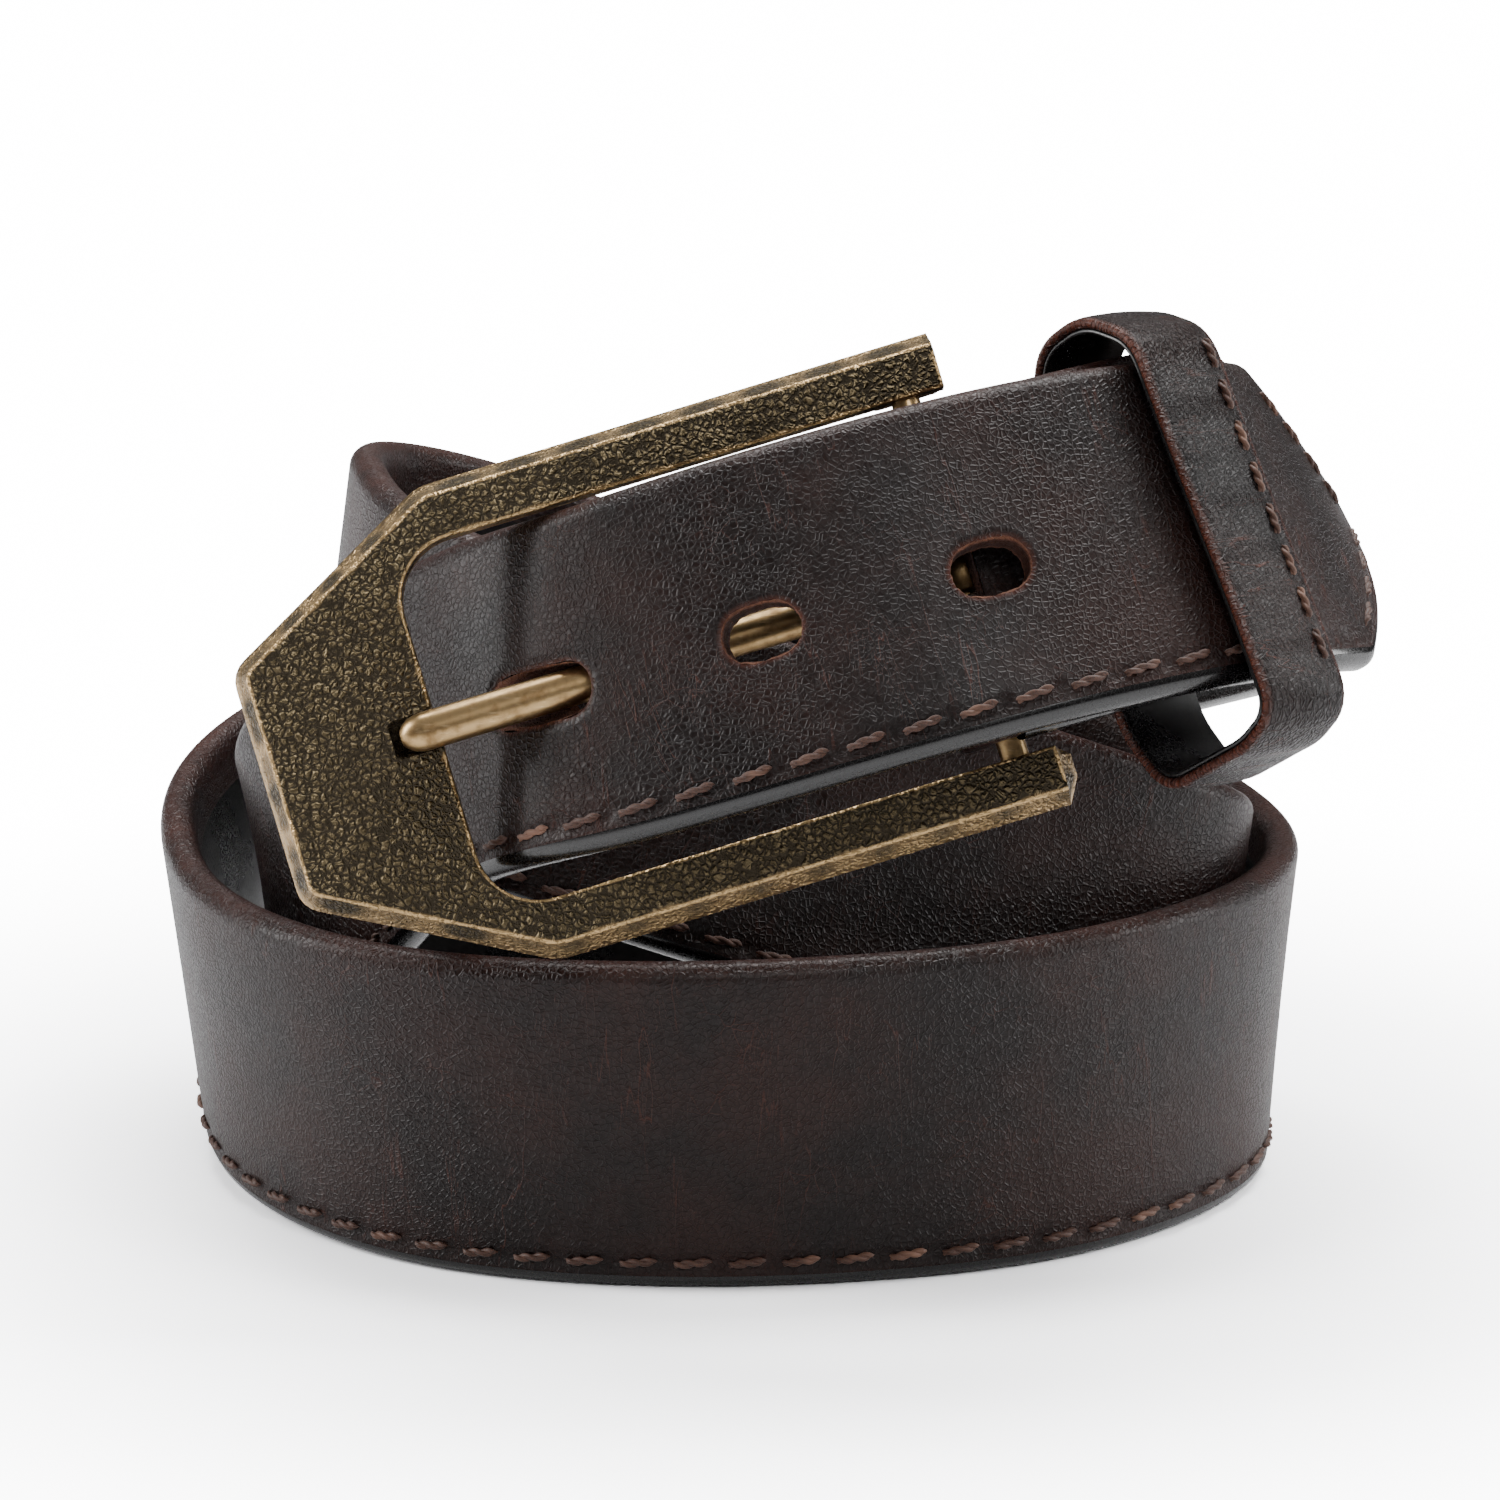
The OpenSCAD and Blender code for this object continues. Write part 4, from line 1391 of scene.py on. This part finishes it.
    def lugs(self) -> None:
        """Rear lugs that carry the heel bar."""
        z = self.sizes
        parts, rubs = [], []
        for side in (-1, 1):
            y0 = z.open_half + 0.02 if side > 0 else -(z.open_half + z.arm - 0.02)
            y1 = y0 + z.arm - 0.04
            x0, x1 = z.past_bar - z.lug, z.past_bar - 0.02
            low, high = -z.lug_back, -z.thick / 2 + 0.1
            loop = []
            for x, y, start in ((x1 - 1, y1 - 1, 0), (x0 + 1, y1 - 1, 90),
                                (x0 + 1, y0 + 1, 180), (x1 - 1, y0 + 1, 270)):
                loop += Shape.corner(x, y, 1.0, start, start + 90, 6)
            loop = np.array(loop)
            mid = loop.mean(axis=0)
            rings = []
            for height, k in ((high, 1.0), (low + 0.6, 1.0), (low + 0.2, 0.96), (low, 0.86),
                              (low, 0.5), (low, 0.02)):
                q = mid + (loop - mid) * k
                rings.append(np.column_stack([q, np.full(len(q), height)]))
                rubs.append(np.full(len(q), 0.7 if k in (0.96, 0.86) else 0.2))
            parts.append(Shape.grid(self.axes.to_row(np.array(rings)), None, True))
        obj = Shape.piece("buckle_rear_lugs", parts, {"rub": np.concatenate(rubs)})
        Shape.finish(obj, Body.BUCKLE, Slot.CAST, self.palette.cast)

    def tongue(self) -> None:
        """The tongue: an eye on the bar and a slightly waisted rod with a rounded tip."""
        z = self.sizes
        inner = z.length - z.past_bar - z.end
        reach = inner + 2.7
        rod_r = z.tongue_d / 2
        k = np.concatenate([np.linspace(0, 0.95, 34), 1 - 0.05 * np.cos(np.linspace(0.3, 1.5, 12))])
        x = -1.5 - (reach + rod_r * 0.75 - 1.5) * k
        zc = z.tongue_z0 + (z.tongue_z1 - z.tongue_z0) * (-x) / reach
        end = np.clip((-x - (reach - 1.4)) / (rod_r * 0.75 + 1.4), 0, 1)
        r = rod_r * np.sqrt(np.clip(1 - end**2, 0.0005, 1))
        r *= 1 - 0.05 * np.exp(-(((k - 0.5) / 0.3) ** 2))
        zc = zc - 0.25 * end
        a = np.linspace(0, 2 * math.pi, RIM_STEPS, endpoint=False)
        flat = 0.93 + 0.07 * np.clip(1 - k * 2, 0, 1)
        pts = np.stack([np.repeat(x[:, None], RIM_STEPS, 1),
                        z.tongue_y + r[:, None] * np.cos(a)[None, :],
                        zc[:, None] + (r * flat)[:, None] * np.sin(a)[None, :]], axis=-1)
        parts = [Shape.grid(self.axes.to_row(pts), None, True)]
        bore = z.bar_d / 2 + 0.06
        prof = [(bore, -z.eye_w / 2 + 0.3), (bore + 0.3, -z.eye_w / 2), (z.eye_r - 0.4, -z.eye_w / 2),
                (z.eye_r, -z.eye_w / 2 + 0.4), (z.eye_r, z.eye_w / 2 - 0.4),
                (z.eye_r - 0.4, z.eye_w / 2), (bore + 0.3, z.eye_w / 2), (bore, z.eye_w / 2 - 0.3)]
        around = np.linspace(0, 2 * math.pi, 41)
        eye = np.array([[(q[0] * math.cos(b), z.tongue_y + q[1], z.bar_z + q[0] * math.sin(b))
                         for q in prof] for b in around])
        parts.append(Shape.grid(self.axes.to_row(eye), None, True))
        obj = Shape.piece("tongue_with_eye", parts)
        Shape.finish(obj, Body.TONGUE, Slot.SATIN, self.palette.satin, ("tongue",))


@dataclass
class Fold:
    """The strap's end: round the heel bar and back inside the strap."""

    strap: StrapSizes
    buckle: BuckleSizes
    axes: BuckleFrame
    route: Route
    palette: Palette
    length: float = 56.0
    thin: float = 2.4

    def closing(self, s: np.ndarray) -> np.ndarray:
        """How far the returned piece still stands off at distances along, from 1 to 0."""
        f = np.clip(s / 18, 0, 1)
        return 1 - f * f * (3 - 2 * f)

    def section(self, half: float, low: float, high: float) -> list:
        """A rounded rectangle across the strap.

        Args:
            half: Half its width.
            low: Its inner face.
            high: Its outer face.

        Returns:
            Pairs (across, out).
        """
        r = min(1.0, (high - low) / 2 - 0.01)
        points = []
        for w, n, start in ((half - r, high - r, 0), (-half + r, high - r, 90),
                            (-half + r, low + r, 180), (half - r, low + r, 270)):
            points += Shape.corner(w, n, r, start, start + 90, 5)
        return points

    def wrap(self) -> None:
        """Two half-round bands, one each side of the tongue's slot."""
        r0 = self.buckle.bar_d / 2 + 0.05
        slot = 3.0
        y = self.buckle.tongue_y
        half = self.strap.half_w - 0.6
        parts, runs, rubs = [], [], []
        for lo, hi in ((-half, y - slot), (y + slot, half)):
            mid, wide = (lo + hi) / 2, (hi - lo) / 2
            ring = self.section(wide, r0, r0 + self.strap.thick)
            rows = []
            for a in np.radians(np.linspace(90, 270, 25)):
                rows.append([(q[1] * math.cos(a), mid + q[0], q[1] * math.sin(a)) for q in ring])
            pts = np.array(rows)
            parts.append(Shape.grid(self.axes.fold_to_row(pts), None, True))
            run = np.stack([np.repeat(np.linspace(0, 14, 25)[:, None], len(ring), 1), pts[..., 1],
                            np.zeros(pts.shape[:2])], axis=-1)
            runs.append(run.reshape(-1, 3))
            rubs.append(np.full(len(rows) * len(ring), 0.1))
        obj = Shape.piece("fold_round_heel_bar", parts,
                          {"run": np.concatenate(runs), "rub": np.concatenate(rubs)})
        Shape.finish(obj, Body.STRAP, Slot.COVER, self.palette.cover, ("fold_wrap",))

    def returned(self) -> None:
        """The piece that runs back inside the strap, and its thread."""
        s = np.linspace(0.1, self.length, 60)
        close = self.closing(s)
        top = -self.strap.half_t - 0.3 - (self.buckle.bar_d + 0.1 - 0.3) * close
        deep = self.thin + (self.strap.thick - self.thin) * close
        half = self.strap.half_w - 0.6
        ring = np.array(self.section(half, 0.0, self.thin))
        ring[:, 1] /= self.thin
        big_s = np.repeat(s[:, None], len(ring), 1)
        big_w = np.repeat(ring[None, :, 0], len(s), 0)
        big_n = top[:, None] - deep[:, None] * (1 - ring[None, :, 1])
        parts = [Shape.grid(self.route.at(big_s, big_w, big_n), None, True)]
        run = np.stack([big_s, big_w, np.zeros_like(big_s)], axis=-1).reshape(-1, 3)
        rub = np.full(big_s.size, 0.08)
        for row in (0, -1):
            v = self.route.at(big_s[row], big_w[row], big_n[row])
            parts.append((v, np.arange(len(v))[None]))
            run = np.concatenate([run, np.stack([big_s[row], big_w[row], 0 * big_s[row]], axis=-1)])
            rub = np.concatenate([rub, np.full(len(v), 0.2)])
        obj = Shape.piece("returned_end_inside_strap", parts, {"run": run, "rub": rub})
        Shape.finish(obj, Body.STRAP, Slot.COVER, self.palette.cover, ("fold_return",))
        stitches = []
        for at in (self.length - 3.6, self.length - 1.6):
            for w in np.arange(-15, 16, 5):
                k = np.linspace(0, 1, STITCH_STEPS)
                wide = w - 1.8 + 3.6 * k
                n = -self.strap.half_t - 0.3 - self.thin - 0.1 - Stitch.arch(k)
                centre = self.route.at(np.full_like(k, at), wide, n)
                _, t, _, out = self.route.frames(np.full_like(k, at))
                stitches += Stitch.plies(centre, t, out, k)
        thread = Shape.piece("fold_thread", stitches)
        Shape.finish(thread, Body.STRAP, Slot.THREAD, self.palette.thread, ("fold_thread",))

    def build(self) -> None:
        """Makes the fold."""
        self.wrap()
        self.returned()


@dataclass
class Keeper:
    """The loop that holds the strap's tip down."""

    strap: StrapSizes
    route: Route
    palette: Palette
    width: float = 12.0
    thick: float = 1.9
    from_tip: float = 33.0

    def axes(self) -> tuple[np.ndarray, np.ndarray, np.ndarray, np.ndarray]:
        """Place, along, across and outward directions of the strap under the loop."""
        at = np.array([self.route.total - self.from_tip])
        return tuple(v[0] for v in self.route.frames(at))

    def path(self) -> tuple[np.ndarray, np.ndarray]:
        """The loop's inner outline, smoothed.

        Returns:
            Evenly spaced points (out, across), and the distance to each round the loop.
        """
        h, t = self.strap.half_w, self.strap.half_t
        q = np.array([(t + 1.0, -h - 4), (t + 1.0, h + 0.8), (-t - 0.5, h + 5.6),
                      (-t * 3 - 2.9, h + 5.6), (-t * 3 - 5.7, h + 1), (-t * 3 - 10.7, -h + 2.5),
                      (-t * 3 - 7.9, -h - 5), (-1, -h - 5.6)])
        pts = []
        for i in range(len(q)):
            a, b, c = q[i - 1], q[i], q[(i + 1) % len(q)]
            r = min(2.6, 0.45 * np.linalg.norm(a - b), 0.45 * np.linalg.norm(c - b))
            p0 = b + (a - b) / np.linalg.norm(a - b) * r
            p1 = b + (c - b) / np.linalg.norm(c - b) * r
            for k in np.linspace(0, 1, 7):
                pts.append(p0 * (1 - k) ** 2 + b * 2 * k * (1 - k) + p1 * k * k)
        pts = np.array(pts)
        closed = np.vstack([pts, pts[:1]])
        d = np.concatenate([[0], np.cumsum(np.linalg.norm(np.diff(closed, axis=0), axis=1))])
        s = np.linspace(0, d[-1], 181)[:-1]
        return np.stack([np.interp(s, d, closed[:, 0]), np.interp(s, d, closed[:, 1])], axis=1), s

    def band(self, low: float, high: float, width: float, crown: float) -> tuple:
        """Points of the band between two depths.

        Args:
            low: Depth of the inner face outside the path.
            high: Depth of the outer face.
            width: Width along the strap.
            crown: Extra height at the middle.

        Returns:
            The grid, and its run and rub attributes.
        """
        path, s = self.path()
        along = np.roll(path, -1, axis=0) - np.roll(path, 1, axis=0)
        along /= np.linalg.norm(along, axis=1)[:, None]
        out = np.stack([-along[:, 1], along[:, 0]], axis=1)
        if np.sum(out[:, 0] * (path[:, 0] - path[:, 0].mean())) < 0:
            out = -out
        r = min(0.8, (high - low) / 2 - 0.02)
        ring = []
        for x, y, start in ((width / 2 - r, high - r, 0), (-width / 2 + r, high - r, 90),
                            (-width / 2 + r, low + r, 180), (width / 2 - r, low + r, 270)):
            ring += Shape.corner(x, y, r, start, start + 90, 5)
            if start == 0:
                for x in np.linspace(width / 2 - r, -width / 2 + r, 18)[1:-1]:
                    ring.append((x, high + crown * (1 - (2 * x / width) ** 2)))
        ring = np.array(ring)
        place, t, across, normal = self.axes()
        ripple = 0.22 * np.sin(s / 1.9) * np.sin(s / 8.3 + 0.5) + 0.16 * np.sin(s / 0.9 + 1)
        pts, run, rub = [], [], []
        for i in range(len(path)):
            depth = ring[:, 1] + np.where(ring[:, 1] > high - 0.2,
                                          ripple[i] * 0.5 * (1 - (2 * ring[:, 0] / width) ** 2), 0)
            side = ring[:, 0] + 0.15 * math.sin(s[i] / 7.0)
            q = path[i] + out[i] * depth[:, None]
            p = (place + t * side[:, None] + normal * q[:, :1] + across * q[:, 1:2]) * MM
            pts.append(p)
            run.append(np.column_stack([np.full(len(ring), s[i]) + 2000, ring[:, 0],
                                        np.zeros(len(ring))]))
            rub.append(np.clip((np.abs(ring[:, 0]) - width / 2 + 1.2) / 1.2, 0, 1) * 0.8)
        pts = np.array(pts)
        pts = np.concatenate([pts, pts[:1]])
        run = np.array(run)
        last = run[:1].copy()
        last[..., 0] += s[-1] + s[1]
        run = np.concatenate([run, last])
        rub = np.array(rub)
        rub = np.concatenate([rub, rub[:1]])
        return Shape.grid(pts, None, True), run.reshape(-1, 3), rub.ravel()

    def build(self) -> None:
        """Makes the loop, its lining and its thread."""
        grid, run, rub = self.band(0.72, self.thick, self.width, 0.25)
        cover = Shape.piece("keeper_loop_leather", [grid], {"run": run, "rub": rub})
        Shape.finish(cover, Body.STRAP, Slot.COVER, self.palette.keeper, ("keeper_cover",))
        grid, run, rub = self.band(0.1, 0.7, self.width - 0.6, 0.0)
        lining = Shape.piece("keeper_loop_lining", [grid], {"run": run, "rub": rub * 0})
        Shape.finish(lining, Body.STRAP, Slot.LINING, self.palette.lining, ("keeper_lining",))
        place, t, across, normal = self.axes()
        height = self.strap.half_t + 1.0 + self.thick + 0.14
        x = self.width / 2 - 1.9
        parts = []
        for w in np.arange(-17.5, 18, 5.0):
            k = np.linspace(0, 1, STITCH_STEPS)
            wide = w - 1.9 + 3.8 * k
            rise = height + Stitch.arch(k)
            centre = (place + t * x + across * wide[:, None] + normal * rise[:, None]) * MM
            parts += Stitch.plies(centre, np.repeat(t[None], STITCH_STEPS, 0),
                                  np.repeat(normal[None], STITCH_STEPS, 0), k)
        thread = Shape.piece("keeper_thread", parts)
        Shape.finish(thread, Body.STRAP, Slot.THREAD, self.palette.thread, ("keeper_thread",))


@dataclass(frozen=True)
class Studio:
    """Pale floor, soft light and the camera."""

    distance: float = 0.65
    height: float = 0.211
    pitch: float = 13.9
    lens: float = 136.0
    floor_half: float = 3.0
    lift: float = 2.9
    white: float = 16.0

    def floor(self) -> None:
        """A pale floor that fades into the white room."""
        h = self.floor_half
        mesh = bpy.data.meshes.new("studio_floor")
        mesh.from_pydata([(-h, -h, -0.0002), (h, -h, -0.0002), (h, h, -0.0002), (-h, h, -0.0002)],
                         [], [(0, 1, 2, 3)])
        obj = Shape.place("studio_floor", mesh)
        material = bpy.data.materials.new("pale_floor")
        material.use_nodes = True
        n = Nodes(material.node_tree)
        bsdf = material.node_tree.nodes["Principled BSDF"]
        bsdf.inputs["Base Color"].default_value = (0.85, 0.85, 0.86, 1)
        bsdf.inputs["Roughness"].default_value = 0.6
        bsdf.inputs["Specular IOR Level"].default_value = 0.2
        place = n.add("ShaderNodeTexCoord").outputs["Object"]
        away = n.add("ShaderNodeVectorMath", {0: place}, operation="LENGTH").outputs["Value"]
        pale = n.add("ShaderNodeBsdfDiffuse", {"Color": (self.lift, self.lift, self.lift * 1.02, 1)})
        glow = n.add("ShaderNodeEmission", {"Color": (1, 1, 1, 1), "Strength": self.white})
        seen = n.add("ShaderNodeLightPath").outputs["Is Camera Ray"]
        front = n.add("ShaderNodeMixShader", {0: n.ramp(away, 0.075, 0.2)})
        n.set(front, 1, pale.outputs[0])
        n.set(front, 2, glow.outputs[0])
        mixed = n.add("ShaderNodeMixShader", {0: seen})
        n.set(mixed, 1, bsdf.outputs[0])
        n.set(mixed, 2, front.outputs[0])
        out = material.node_tree.nodes["Material Output"]
        n.set(out, "Surface", mixed.outputs[0])
        mesh.materials.append(material)

    def room(self) -> None:
        """White room: plain white to the camera, softly graded to everything else."""
        world = bpy.data.worlds.new("white_room")
        bpy.context.scene.world = world
        world.use_nodes = True
        n = Nodes(world.node_tree)
        for node in list(world.node_tree.nodes):
            world.node_tree.nodes.remove(node)
        way = n.add("ShaderNodeTexCoord").outputs["Generated"]
        up = n.add("ShaderNodeSeparateXYZ", {0: way}).outputs["Z"]
        level = n.ramp(up, -0.1, 0.9, 0.06, 0.3)
        seen = n.add("ShaderNodeLightPath").outputs["Is Camera Ray"]
        strength = n.math("MAXIMUM", level, n.math("MULTIPLY", seen, self.white))
        back = n.add("ShaderNodeBackground", {"Color": (1, 1, 1, 1), "Strength": strength})
        out = n.add("ShaderNodeOutputWorld")
        n.set(out, "Surface", back.outputs[0])

    def light(self, name: str, at: tuple, size: tuple, watts: float) -> None:
        """An area light aimed at the belt.

        Args:
            name: Its name.
            at: Its place in metres.
            size: Its width and height in metres.
            watts: Its power.
        """
        data = bpy.data.lights.new(name, "AREA")
        data.shape = "RECTANGLE"
        data.size, data.size_y = size
        data.energy = watts
        obj = Shape.place(name, data)
        obj.location = at
        way = Vector((0, 0, 0.05)) - Vector(at)
        obj.rotation_euler = way.to_track_quat("-Z", "Y").to_euler()

    def camera(self) -> None:
        """The view from the front, slightly above."""
        data = bpy.data.cameras.new("front_camera")
        data.lens = self.lens
        data.sensor_width = 36
        data.clip_start = 0.01
        obj = Shape.place("front_camera", data)
        obj.matrix_world = (Matrix.Translation((float(SHIFT[0]) * MM, -self.distance, self.height))
                            @ Matrix.Rotation(math.radians(90 - self.pitch), 4, "X"))
        bpy.context.scene.camera = obj

    def build(self) -> None:
        """Sets the studio up."""
        self.floor()
        self.room()
        self.light("top_soft", (0.05, 0.25, 0.75), (0.8, 0.4), 11.0)
        self.light("left_soft", (-0.8, 0.0, 0.35), (0.3, 0.6), 6.0)
        self.light("right_soft", (0.85, 0.05, 0.35), (0.3, 0.6), 5.0)
        self.light("front_soft", (0.25, -0.75, 0.6), (0.35, 0.25), 1.8)
        self.camera()


def main() -> None:
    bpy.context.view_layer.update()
    strap_sizes, buckle_sizes = StrapSizes(), BuckleSizes()
    route = Route(strap_sizes)
    palette = Palette()
    axes = BuckleFrame(buckle_sizes, strap_sizes, route)
    Studio().build()
    Strap(strap_sizes, route, palette).build()
    Fold(strap_sizes, buckle_sizes, axes, route, palette).build()
    Keeper(strap_sizes, route, palette).build()
    Buckle(buckle_sizes, axes, palette).build()


if __name__ == "__main__":
    main()
